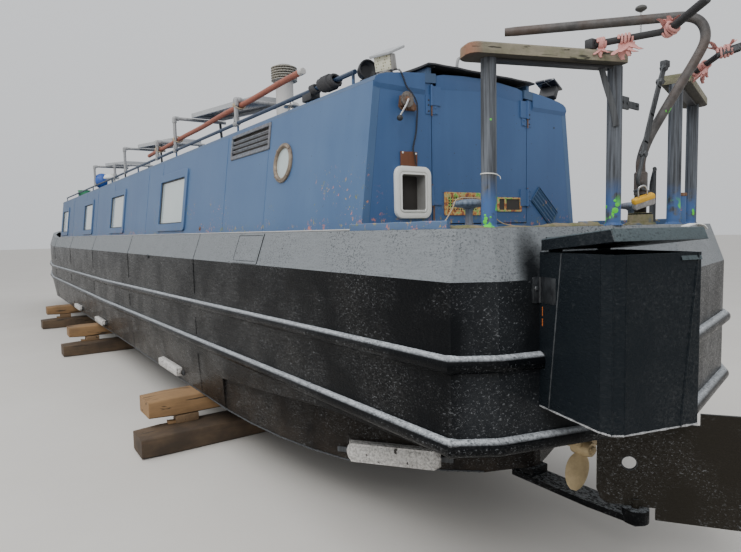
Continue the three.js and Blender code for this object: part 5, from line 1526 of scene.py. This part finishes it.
lock_at = at(-172, 48, 1412)
down = Vector((0.12, -0.42, -0.9)).normalized()
side = Vector((-0.5, -0.78, 0.3)).normalized()
side = (side - down * side.dot(down)).normalized()
lock_axes = (down, side, down.cross(side))
Shape().block(lock_at, (0.05, 0.096, 0.03), lock_axes, 0.008, 3).become(
    "padlock_body", "grey_steel", body="helm")
Shape().block(lock_at - down * 0.014, (0.026, 0.099, 0.033), lock_axes, 0.008, 3).become(
    "padlock_cover", "yellow_plastic", body="helm")
shackle = rounded([lock_at - down * up + side * over for up, over in (
    (0.02, -0.02), (0.055, -0.02), (0.072, -0.01), (0.072, 0.01), (0.055, 0.02), (0.02, 0.02))], 5)
Shape().bar(shackle, 0.0042, 12).become("padlock_shackle", "bright_steel", body="helm")
clip = rounded([helm_at(*place) for place in (
    (28, 8, 1462), (8, 30, 1466), (-22, 22, 1462), (-34, 10, 1454), (-44, 16, 1449))], 5)
Shape().bar(clip, 0.0055, 10).become("padlock_clip", "dark_steel", body="helm")

# %% [markdown]
# ## Folding link, strut, dollies and short pipes
# A bracket and a flat folding link reach from the port seat's inner post towards a dark flat bar that
# is clipped to the tiller's foot and turns with it. The dollies are turned mushrooms with a worn cap.

# %% Link and strut
def flat_bar(line, overlap, wide, thick, bevel, axes):
    """Flat pieces end to end along a line of places; axes gives a piece's own three directions."""
    form = Shape()
    places = [at(*place) for place in line]
    for a, b in zip(places, places[1:]):
        size = ((b - a).length + overlap, wide, thick)
        form.block((a + b) / 2, size, axes((b - a).normalized()), bevel, 1)
    return form


post_middle = at(*POSTS[1], 1825)
toward = (at(-185, 20, 1809) - post_middle).normalized()
flat = (UP, toward, UP.cross(toward))
link = Shape().block(post_middle + toward * 0.055, (0.052, 0.07, 0.012), flat, 0.002, 1)
link.block(post_middle + toward * 0.115 - UP * 0.003, (0.03, 0.09, 0.009), flat, 0.002, 1)
for reach in (0.05, 0.078, 0.145):
    link.bar([post_middle + toward * reach + flat[2] * end for end in (-0.01, 0.01)], 0.006, 8)
link.become("folding_link", "dark_steel")
flat_bar(
    ((-150, 336, 1948), (-160, 324, 1890), (-180, 306, 1800), (-192, 296, 1720)), 0.012, 0.007, 0.024, 0.001,
    lambda ahead: (ahead, *across(ahead))).become("post_bar", "dark_steel")
prop = flat_bar(
    ((-176, -96, 2012), (-176, -50, 1915), (-176, 2, 1790), (-176, 48, 1670), (-176, 62, 1610)),
    0.01, 0.03, 0.009, 0.0015, lambda ahead: (ahead, AHEAD.cross(ahead), AHEAD))
prop.bar(smooth(
    (-176, 62, 1612), (-175, 84, 1550), (-172, 96, 1505), (-164, 70, 1478), (-150, 26, 1470), steps=4),
    0.008, 12)
for y, z in ((-92, 2004), (-62, 1940), (60, 1618)):
    prop.turned([(0.013, -0.014), (0.015, -0.011), (0.015, 0.011), (0.013, 0.014)], at(-176, y, z), AHEAD, 6)
prop.block(at(-176, -100, 2022), (0.03, 0.036, 0.03), None, 0.004)
prop.become("tiller_bar", "dark_steel", body="helm")

# %% Dollies, short pipes by the starboard posts, and the hatch's grab handle
DOLLY = (
    (0.024, 0.0008), (0.034, 0.0008), (0.033, 0.005), (0.022, 0.009), (0.017, 0.03), (0.0165, 0.07),
    (0.019, 0.086), (0.03, 0.092), (0.056, 0.0955), (0.068, 0.1), (0.0735, 0.107), (0.0735, 0.114),
    (0.069, 0.1205), (0.05, 0.127), (0.025, 0.131), (0, 0.132))

for sign, name in BOTH_SIDES:
    Shape().turned(DOLLY, at(300, sign * 645, 1310), UP, 48).become(
        f"dolly_{name}", "stud_steel", stands_for=f"mooring_stud_{name}")

stub_foot, stub_top = at(-64, -500, 1310.6), at(-64, -500, 1452)
Shape().bar([stub_foot, stub_top], 0.0165, 20).become("blue_stub", "end_blue")
Shape().turned(
    [(0.018, 0), (0.021, 0.002), (0.021, 0.012), (0.018, 0.017), (0, 0.018)], stub_top, UP, 20).become(
    "stub_cap", "rusty_steel")
bent_rail = Shape().bar(smooth(
    (262, -790, 1310.6), (262, -790, 1470), (255, -775, 1540), (215, -730, 1606), (205, -715, 1612),
    (160, -640, 1613), (118, -560, 1611)), 0.0105)
bent_rail.bar([at(160, -640, 1310.6), at(160, -640, 1606)], 0.008, 12)
bent_rail.become("bent_rail", "dark_steel")
handle = Shape().bar(smooth(
    (862, 180, 2205), (862, 178, 2238), (863, 168, 2264), (864, 140, 2278), (865, 80, 2284), (865, 0, 2282),
    (864, -42, 2270), (863, -54, 2240), (862, -56, 2205)), 0.0085)
for y in (180, -56):
    handle.turned([(0.018, 0), (0.018, 0.003), (0.01, 0.005)], at(862, y, 2203.5), UP, 20)
handle.become("hatch_handle", "galvanised", body="hatch")

# %% [markdown]
# ## Hull fittings
# The rubbing strakes are half-round bars welded along the hull; the bright line on their upper half is
# painted into their finish, a painted reflection of the sky. Each is a bar bent round the plan of the hull,
# with its height read from the strake's table. The short stretch behind the stern locker is left out, as on
# the boat.

# %% Strakes
HULL_PLAN = [
    (-340, 0), (-100, 888), (0, 1040), *((x, 1040) for x in (1500, 3000, 5000, 7000, 9000, 11000, 13060)),
    (13800, 1010), (14600, 915), (15300, 690), (15800, 390), (16080, 140)]
STRAKES = {
    "upper": ((-400, 800), (0, 800), (3000, 750), (7000, 690), (13060, 660), (16200, 800)),
    "lower": ((-400, 482), (0, 480), (3000, 445), (7000, 405), (13060, 400), (16200, 560))}
LOCKER_ENDS = ((-243, 357), (-147, 714))


def read_table(table, x):
    """The height at a station, from pairs of station and height."""
    for (x0, z0), (x1, z1) in zip(table, table[1:]):
        if x <= x1:
            return z0 + (z1 - z0) * (x - x0) / (x1 - x0)
    return table[-1][1]


def strake_line(table, sign, plan, out=4.0, radius=0.034):
    """The plan line moved out, at the strake's height, with a mitre at each corner; and its radii."""
    line, radii = [], []
    for k, (x, y) in enumerate(plan):
        (x0, y0), (x1, y1) = plan[max(k - 1, 0)], plan[min(k + 1, len(plan) - 1)]
        before, beyond = Vector((x - x0, y - y0, 0)), Vector((x1 - x, y1 - y, 0))
        before = (before if before.length else beyond).normalized()
        beyond = (beyond if beyond.length else before).normalized()
        half_turn = before.angle(beyond) / 2
        ahead = (before + beyond).normalized()
        off = ahead.cross(UP) * -out / cos(half_turn)
        for step, way in ((-28, before), (0, ahead), (28, beyond)) if half_turn > 0.05 else ((0, ahead),):
            px, py = x + off.x + step * way.x, y + off.y + step * way.y
            line.append(at(px, sign * py, read_table(table, px)))
            radii.append(radius if step else radius / cos(half_turn))
    return line, radii


for level, table in STRAKES.items():
    form = Shape()
    for sign, name in BOTH_SIDES:
        runs = [HULL_PLAN]
        if (level, name) == ("upper", "port"):
            runs = [[HULL_PLAN[0], LOCKER_ENDS[0]], [LOCKER_ENDS[1], *HULL_PLAN[1:]]]
        for run in runs:
            form.bar(*strake_line(table, sign, run), 20)
    form.become(f"strake_{level}", "bitumen_strake", crease=50)

# %% [markdown]
# Weld beads mark where plates meet: upright seams every 2.4 m, the edge of the base plate, and the line
# where the swim runs into the counter. A bead is a thin bar whose radius swells and shrinks a little.

# %% Weld beads
def bead(form, points, radius=0.0028, steps=14):
    path = [a.lerp(b, k / steps) for a, b in zip(points, points[1:]) for k in range(steps)] + [points[-1]]
    form.bar(path, [radius * (1 + 0.25 * sin(2.1 * k) + 0.15 * sin(5.3 * k)) for k in range(len(path))], 8)


SWIM_LINE = ((2500, 1008), (2080, 985), (1700, 940), (1400, 880), (1130, 795), (700, 465), (550, 300))
COUNTER_EDGE = ((-400, 440), (0, 440), (1100, 395), (1650, 325), (2500, 245))
PLATE_EDGES = (3030, 5430, 7830, 10230, 12630)
SEAM_RUNS = (
    ((1040.5, 1109), (1040.5, 970), (1040.5, 830)), ((1040.5, 1109), (1040.5, 1112), (970.5, 1308)),
    ((1040.5, 640), (1040.5, 500)), ((1035.5, 340), (1011, 8)))

seams, edges = Shape(), Shape()
for sign, name in BOTH_SIDES:
    for x in PLATE_EDGES:
        for run in SEAM_RUNS:
            bead(seams, [at(x, sign * y, z) for y, z in run])
    foot = [(13060, 1010.5), (2500, 1010.5), *((x, y + 2) for x, y in SWIM_LINE[1:])]
    bead(edges, [at(x, sign * y, 5) for x, y in foot], 0.005, 24)
    bead(edges, [at(x, sign * (y + 2), read_table(COUNTER_EDGE, x) - 1) for x, y in SWIM_LINE], 0.005)
seams.become("plate_seams", "bitumen")
edges.become("base_welds", "dark_steel")

# %% Square cover plate on the leaning band, and a skin fitting under it
COVER_X, BAND_MIDDLE = 1979, 0.5
band = Plane(-AHEAD, Vector((0, -70, 200)).normalized())


def band_point(x, share, out=0.0):
    """A place on the port side's leaning band: station, share of its height, metres out."""
    return at(x, 1040 - 70 * share, 1110 + 200 * share) + band.out * out


where = band_point(COVER_X, BAND_MIDDLE, 0.0002)
cover = Shape().ring(
    round_rect(0.412, 0.204, 0.008), round_rect(0.384, 0.176, 0.006), 0.005, where, *band.flat)
cover.plate(round_rect(0.376, 0.168, 0.005), 0.004, where, *band.flat, 0.001)
for x, share in ((1786, 0.1), (1786, 0.9), (2172, 0.1), (2172, 0.9)):
    cover.turned([(0.006, 0.004), (0.006, 0.0065), (0.003, 0.008)], band_point(x, share), -band.out, 6)
cover.become("band_cover", "bitumen", crease=12)
Shape().turned([
    (0.02, -0.002), (0.02, 0.006), (0.016, 0.009), (0.011, 0.009), (0.01, 0), (0.01, -0.002)],
    at(4483, 1040, 1096), PORT, 24, loop=True).become("skin_fitting", "dark_steel")

# %% [markdown]
# The anodes are cast zinc bars, rotted to a pitted crust. Each gets a swollen, pocked skin over the
# plain bar of the solid, and the solid's own faces there take the same finish by a second slot.

# %% Anodes
ANODE_X = (3550, 7150, 9250)
SWIM_OUT = (-0.6094, 0.7929)
SWIM_AFT, SWIM_FORE = (700, 465), (1130, 795)


def anode_skin(start, end, out, tall, thick, wobble):
    """A crusted bar with round ends along start-end, standing out from the wall."""
    rows = []
    for t in (k / 40 for k in range(41)):
        edge = min(t, 1 - t) * (end - start).length / 0.05
        full = 1.0 if edge >= 1 else max(0.03, 1 - (1 - edge) ** 2.4) ** 0.5
        row = []
        for i, a in enumerate(full_turn(16)):
            rounder = 1 / (cos(a) ** 4 + sin(a) ** 4) ** 0.25
            rough = 1 + wobble * (sin(37 * t + 2.9 * i) + sin(91 * t - 1.7 * i + 1)) * 0.5
            swell = rounder * full * rough
            row.append(
                start.lerp(end, t) + out * thick / 2 * (1 + cos(a) * swell)
                + UP * tall / 2 * (1 + sin(a) * swell))
        rows.append(row)
    return loft(rows)


for sign, name in BOTH_SIDES:
    for n, x in enumerate(ANODE_X, 1):
        start, end = at(x - 8, sign * 1012, 43), at(x + 608, sign * 1012, 43)
        anode_skin(start, end, PORT * sign, 0.084, 0.062, 0.03).become(
            f"anode_{name}_{n}", "anode_zinc", crease=70)
    swim_out = Vector((SWIM_OUT[0], SWIM_OUT[1] * sign, 0))
    along_swim = Vector((-430, -330 * sign, 0)).normalized()
    start = at(SWIM_FORE[0], sign * SWIM_FORE[1], 18) + along_swim * 0.002
    end = at(SWIM_AFT[0], sign * SWIM_AFT[1], 18) - along_swim * 0.002
    anode_skin(start, end, swim_out, 0.109, 0.059, 0.025).become(
        f"anode_swim_{name}", "anode_zinc", crease=70)
    straps = Shape().slats(
        [at(x + reach, sign * 1018, 84) for x in ANODE_X for reach in (-31, 631)],
        (0.07, 0.012, 0.034), None, 0.002)
    inward = ((start, -0.03), (end, 0.03))
    straps.slats(
        [place + along_swim * shift + UP * 0.05 + swim_out * 0.008 for place, shift in inward],
        (0.07, 0.01, 0.03), (along_swim, swim_out * sign, UP), 0.002)
    straps.become(f"anode_straps_{name}", "dark_steel")


def on_anode(place):
    x, y, z = place.x * 1000 + STATION_0, abs(place.y) * 1000, place.z * 1000 - GROUND_TO_BASE
    side_bar = y > 1035 and any(start - 5 < x < start + 605 for start in ANODE_X)
    clear = (x - SWIM_FORE[0]) * SWIM_OUT[0] + (y - SWIM_FORE[1]) * SWIM_OUT[1]
    return 15 < z < 130 and (side_bar or (690 < x < 1140 and clear > 10))


for name in ("hull_side_port", "hull_side_starboard", "hull_stern"):
    node = nodes[name]
    node.data.materials.append(FINISHES["anode_zinc"])
    zinc = [face for face in node.data.polygons if on_anode(node.matrix_world @ face.center)]
    for face in zinc:
        face.material_index = 1
    print(name, "has", len(zinc), "zinc faces")

# %% [markdown]
# ## Screw
# Three blades on a boss that tapers to a nut. Each blade is lofted through twelve sections from root to
# tip: the chord follows an ellipse, the section is thickest ahead of its middle, and the pitch eases
# outwards. Rust stains run over dull bronze.

# %% Propeller
BOSS, BLADE_ROOT, BLADE_TIP, FIRST_BLADE = at(150, 0, 190), 0.032, 0.2165, -0.61
BLADES, SECTIONS = 3, 12


def blade_section(r, turn):
    """A closed section of one blade at a radius."""
    chord = 0.0625 * math.sqrt(max(1 - ((r - 0.1225) / 0.0985) ** 2, 0.012))
    pitch = 0.5 + 1.4 * (0.12 - r)
    thick = 0.0075 * (1.12 - r / 0.22) + 0.0012
    sweep = 0.008 * ((r - 0.05) / 0.17) ** 2
    row = []
    for a in full_turn(18):
        deep = thick * sin(a) * (0.75 + 0.25 * cos(a)) + 0.1 * chord * cos(a) ** 2
        wide = chord * cos(a) + sweep
        c, s = cos(pitch), sin(pitch)
        row.append(BOSS + turn @ Vector((deep * c - wide * s, deep * s + wide * c, r)))
    return row


screw = Shape().turned([
    (0, -0.064), (0.012, -0.062), (0.02, -0.056), (0.022, -0.05), (0.034, -0.0485), (0.04, -0.03), (0.043, 0),
    (0.0425, 0.035), (0.039, 0.054), (0.018, 0.0555), (0.018, 0.49), (0, 0.49)], BOSS, AHEAD, 40)
screw.turned([(0.019, 0), (0.021, 0.003), (0.021, 0.011), (0.019, 0.013)], BOSS - AHEAD * 0.0605, AHEAD, 6)
for a in full_turn(BLADES):
    turn = Matrix.Rotation(a + FIRST_BLADE, 3, "X")
    screw.rows([
        blade_section(BLADE_ROOT + (BLADE_TIP - BLADE_ROOT) * k / (SECTIONS - 1), turn)
        for k in range(SECTIONS)])
screw.become("screw_blades", "screw_bronze", body="screw", stands_for="propeller", crease=50)

# %% [markdown]
# ## Locker and lid
# The locker is welded up from plate: beads run down its corners and along its foot. Its lid is a
# shallow tray with a turned-down rim that stands ajar. A small hinge plate with a bolt joins the
# box to the transom, and rust shows orange in the slit beside it.

# %% Locker welds and the hinge plate
TURN = math.atan2(240, 888)
transom = Plane(Vector((-sin(TURN), -cos(TURN), 0)), UP)
trans_along, trans_out = transom.along, Vector((-cos(TURN), sin(TURN), 0))
U0, U1, V1, BOX_FOOT, BOX_TOP = -25, 345, 385, 616, 1215
CORNERS = ((U0, 4), (U0, V1 - 62), (U0 + 14, V1 - 16), (U0 + 52, V1), (U1, V1), (U1, 4))


def from_transom(u, v, z):
    """A place from millimetres along the transom, out from it, and above the base plate."""
    return at(-153, 690, z) + trans_along * u / 1000 + trans_out * v / 1000


def locker_weld(form, places, radius, steps):
    bead(form, [from_transom(*place) for place in places], radius, steps)


folds, seam, foot_welds = Shape(), Shape(), Shape()
for u, v in CORNERS[1:4]:
    locker_weld(folds, [(u, v, z) for z in (BOX_TOP - 2, 900, BOX_FOOT + 3)], 0.0022, 30)
locker_weld(folds, [(331, V1, BOX_TOP - 2), (268, V1, BOX_FOOT + 3)], 0.0042, 40)
folds.become("locker_folds", "bitumen_locker")
locker_weld(seam, [(U0, 127, BOX_TOP - 2), (U0, 58, BOX_FOOT + 3)], 0.0024, 40)
locker_weld(foot_welds, [(*corner, BOX_FOOT + 3) for corner in CORNERS[:3]], 0.0032, 12)
locker_weld(foot_welds, [(*corner, BOX_FOOT + 3) for corner in CORNERS[2:]], 0.0032, 20)
seam.become("locker_seam", "dark_steel")
foot_welds.become("locker_foot_welds", "galvanised")

# A flange along the box's mouth, and the hinge that ties it to the transom
loft([[from_transom(u, V1 + out, BOX_TOP + up) for out, up in (
    (0.3, -26), (6, -25), (-4, -1), (-6, -2))] for u in (255, 285, 315, 344)]).become(
    "mouth_flange", "bitumen_locker", crease=20)
hinge = Shape().plate(round_rect(0.036, 0.1, 0.007), 0.006, from_transom(-43, 0.5, 1071), trans_along, UP)
hinge.plate(round_rect(0.094, 0.1, 0.007), 0.006, from_transom(-26, 50, 1071), -trans_out, UP)
hinge.bar([from_transom(-28, 7, z) for z in (1022, 1120)], 0.0055)
hinge.turned([(0.01, 0), (0.01, 0.006), (0.006, 0.009)], from_transom(-46, 5.5, 1078), trans_out, 6)
hinge.become("locker_hinge", "hinge_steel")
slit = Shape()
for z, tall, wide in ((990, 0.036, 0.0035), (948, 0.03, 0.0045)):
    slit.slats([from_transom(-26.3, 20, z)], (wide, 0.0022, tall), (trans_out, -trans_along, UP), 0.0008)
slit.become("rust_slit", "slit_orange")

# %% Lid tray: a shallow tray whose outer rim leans back, on its hinge barrel
LID_U0, LID_U1, LID_V0, LID_V1 = U0 - 14, U1 + 14, 24, V1 + 18


def lid_point(u, v, lift):
    return from_transom(u, v, 1221 + 0.1 * (v - LID_V0) + lift)


def lid_ring(inset, lift, lean=0.0):
    """The lid's outline at one level, moved in, with its outer edge leaning back."""
    points = []
    for u, v, in_u, in_v, first in (
            (LID_U1, LID_V1 - lean, -1, -1, 0), (LID_U0, LID_V1 - lean, 1, -1, 90),
            (LID_U0, LID_V0, 1, 1, 180), (LID_U1, LID_V0, -1, 1, 270)):
        for a in (math.radians(first + 30 * k) for k in range(4)):
            radius = max(8 - inset, 0.5)
            points.append(lid_point(
                u + in_u * (8 + inset) + radius * cos(a), v + in_v * (8 + inset) + radius * sin(a), lift))
    return points


tray = loft([lid_ring(*level) for level in (
    (0, 0.2), (0, 3, 1), (0, 39, 17), (1.2, 42.5, 18.5), (4, 44, 20), (40, 46.5, 20))])
tray.bar([from_transom(u, 14, 1265) for u in (-5, 325)], 0.006, 16)
tray.slats(
    [lid_point(160, 26, 42)], (0.33, 0.022, 0.004), (trans_along, trans_out, trans_along.cross(trans_out)))
tray.become("lid_tray", "bitumen_locker", body="lid", stands_for="locker_lid", crease=28)
strip_path = rounded([lid_point(LID_U1 + u, LID_V1 + v, lift) for u, v, lift in (
    (-44, -60, 47.5), (-12, -52, 55), (12, -46, 49), (22, -42, 36))], 4)
loft([[p + trans_out * 0.016 * edge + UP * up for edge, up in (
    (-1, 0), (1, 0), (1, 0.003), (-1, 0.003))] for p in strip_path]).become(
    "lid_strip", "white_plastic", body="lid")

# %% Rudder trim: a weld ring round the eye and the heel nut
trim = Shape()
for shift in (-0.0066, 0.0066):
    eye = [helm_at(30 + 33.5 * cos(a), 0, 200 + 33.5 * sin(a)) + HELM_SIDE * shift for a in full_turn(32)]
    trim.bar(eye, 0.0022, 8, loop=True)
trim.turned(
    [(0.019, -0.0135), (0.028, -0.0135), (0.03, -0.011), (0.03, -0.0025), (0.028, 0), (0.019, 0)],
    at(RUDDER_X, 0, -81.5), UP, 6, loop=True)
trim.become("rudder_trim", "dark_steel", body="helm")

# %% [markdown]
# ## Odds and ends on deck and roof
# Moss and soil have gathered in a low bank along the deck's edge. A blue ball, a green tub and a black
# box lie on the roof. The bank is a soft ridge whose height wanders, laid on the deck.

# %% Moss bank
BANK_LINE = ((-140, 345), (-62, 632), (2, 815), (70, 890), (250, 895), (520, 890))
BANK_WIDE, BANK_TALL, BANK_STEP, DECK_TOP = 0.06, 0.018, 0.012, 1310.7

rows = []
line = [at(*place, DECK_TOP) for place in BANK_LINE]
for a, b in zip(line, line[1:]):
    count = max(int((b - a).length / BANK_STEP), 2)
    side = UP.cross((b - a).normalized())
    for k in range(count):
        place, n = a.lerp(b, k / count), len(rows) + 1
        wide = BANK_WIDE * (0.75 + 0.25 * sin(0.21 * n) + 0.12 * sin(0.77 * n))
        tall = BANK_TALL * (0.55 + 0.3 * sin(0.11 * n + 1) + 0.12 * sin(0.43 * n))
        row = []
        for i in range(9):
            t, lump = i / 8 - 0.5, 1 + 0.16 * sin(0.9 * n + 2.7 * i)
            row.append(place + side * wide * t + UP * max(tall * (1 - (2 * t) ** 2) * lump, 0.0004))
        rows.append(row + [place + side * wide * t - UP * 0.0001 for t in (0.5, 0, -0.5)])
loft(rows).become("moss_bank", "deck_moss", crease=60)

# %% Blue coaming at the foot of the bulkhead's corners
COAMING = ((-9, 0), (-9, 30), (-7, 33), (7, 33), (9.5, 30), (11, 0))

for sign, name in BOTH_SIDES:
    loft([
        [at(x, sign * (925 + a), DECK_TOP + b + 0.8 * sin(x * 0.03)) for a, b in COAMING]
        for x in range(130, 846, 42)]).become(f"coaming_{name}", "coaming_blue", crease=30)

# %% Things on the roof
BALL_RADIUS = 0.13

Shape().turned(
    [(BALL_RADIUS * sin(pi * k / 20), BALL_RADIUS * (1 - cos(pi * k / 20))) for k in range(21)],
    on_roof(9250, 600, 2), UP, 36).become("blue_ball", "blue_plastic", crease=60)
Shape().turned(
    [(0.1, 0), (0.112, 0.09), (0.12, 0.092), (0.12, 0.1), (0.105, 0.1), (0.094, 0.006), (0, 0.006)],
    on_roof(11150, 610, 3)).become("green_tub", "green_plastic")
Shape().block(on_roof(1640, 690, 34), (0.12, 0.07, 0.055), None, 0.008).become("roof_box", "black_plastic")

# %% [markdown]
# ## Timber stacks
# Under the hull lie old baulks, crossed by the boat: a dark wet lower one, spacer blocks with thin
# wedges, and a dry orange upper one with long drying cracks. Sawn timber is never quite straight, so
# each baulk is lofted through a row of sections that wander by a few millimetres.

# %% Baulks
STACK_X = (2850, 7420, 10440)
SPACER_Y = (-1130, -330, 330, 1130)
WEDGE = ((-0.06, 0), (0.07, 0), (0.07, 0.026), (-0.06, 0.012))


def baulk(x0, x1, half, z0, z1, seed, count=16):
    rows = []
    for k in range(count + 1):
        t = k / count
        end = 0 if 0 < k < count else 0.008
        shift = AHEAD * (0.004 * sin(3.1 * t + seed) + 0.0015 * sin(17 * t + seed))
        wide = (x1 - x0) / 1000 - 2 * end - 0.003 - 0.003 * sin(7 * t + 2 * seed)
        middle = at((x0 + x1) / 2, half * (2 * t - 1), (z0 + z1) / 2) + shift
        rows.append([
            middle + Vector((a, 0.0018 * sin(9 * a / wide + 5 * seed) if end else 0, b))
            for a, b in round_rect(wide, (z1 - z0) / 1000 - 2 * end, 0.014, 3)])
    return loft(rows)


for n, x in enumerate(STACK_X):
    baulk(x - 1, x + 311, 1541, -379.5, -219.5, n).become(
        f"lower_baulk_{n + 1}", "lower_timber", stands_for=f"timber_stack_{n + 1}")
    baulk(x + 209, x + 521, 1431, -150.5, -0.8, n + 3).become(f"upper_baulk_{n + 1}", "upper_timber")
    spacers, wedges = Shape(), Shape()
    for y in SPACER_Y:
        outward = 1 if y > 0 else -1
        spacers.block(at(x + 260, y, -186), (0.103, 0.182, 0.066), None, 0.005)
        wedges.plate(WEDGE, 0.05, at(x + 236, y + 60 * outward + 20, -217.8), PORT * outward, UP)
    spacers.become(f"spacers_{n + 1}", "spacer_wood")
    wedges.become(f"wedges_{n + 1}", "upper_timber")

# %% [markdown]
# ## Floor and light
# The boat stands in a plain studio: a pale floor that runs out of sight, and a soft sky. The sky is
# bright overhead and dimmer at eye height, as an overcast day is, because black paint shows
# mostly what it mirrors: the sloped band under the gunwale turns pale and the upright side stays black.
# The band's pale reflection is also painted into the bitumen's colour.

# %% Floor and sky
FLOOR_HALF = 90
SKY_LEVELS = ((0.0, 0.5), (0.5, 0.82), (0.58, 0.9), (0.74, 1.0), (1.0, 1.05))
SKY_TINT, SKY_STRENGTH = (0.97, 0.99, 1.02), 0.95

mesh = bpy.data.meshes.new("floor")
corners = [(x * FLOOR_HALF, y * FLOOR_HALF, 0) for x, y in ((-1, -1), (1, -1), (1, 1), (-1, 1))]
mesh.from_pydata(corners, [], [(0, 1, 2, 3)])
floor = placed("floor", mesh)
f = Finish("floor_pale")
f.paint(
    f.mix(f.noise(0.8, 5, 0.6), (0.56, 0.53, 0.49), (0.64, 0.62, 0.58)), roughness=0.85,
    normal=f.bump(f.noise(40, 4, 0.6), 0.002, 0.4))
mesh.materials.append(f.material)

world = bpy.context.scene.world = bpy.data.worlds.new("overcast")
world.use_nodes = True
tree = world.node_tree
tree.nodes.clear()
coordinates, apart, lift, ramp, light, output = (tree.nodes.new("ShaderNode" + kind) for kind in (
    "TexCoord", "SeparateXYZ", "Math", "ValToRGB", "Background", "OutputWorld"))
colour_stops(ramp.color_ramp, [(where, [level * tint for tint in SKY_TINT]) for where, level in SKY_LEVELS])
lift.operation = "MULTIPLY_ADD"
lift.inputs[1].default_value = lift.inputs[2].default_value = 0.5
light.inputs["Strength"].default_value = SKY_STRENGTH
for start, end in (
        (coordinates.outputs["Generated"], apart.inputs[0]), (apart.outputs["Z"], lift.inputs[0]),
        (lift.outputs[0], ramp.inputs[0]), (ramp.outputs[0], light.inputs["Color"]),
        (light.outputs[0], output.inputs["Surface"])):
    tree.links.new(start, end)


def softbox(name, place, target, size, watts):
    lamp = bpy.data.lights.new(name, "AREA")
    lamp.shape = "RECTANGLE"
    lamp.size, lamp.size_y = size
    lamp.energy = watts
    holder = placed(name, lamp)
    holder.location = place
    holder.rotation_euler = (Vector(target) - Vector(place)).to_track_quat("-Z", "Y").to_euler()


softbox("overhead", (-4, 6, 11), (-3, 0, 1), (14, 10), 900)
softbox("stern_port", (-13, 7, 8), (-7.6, 0.8, 1.5), (4, 4), 420)
print("stage set")
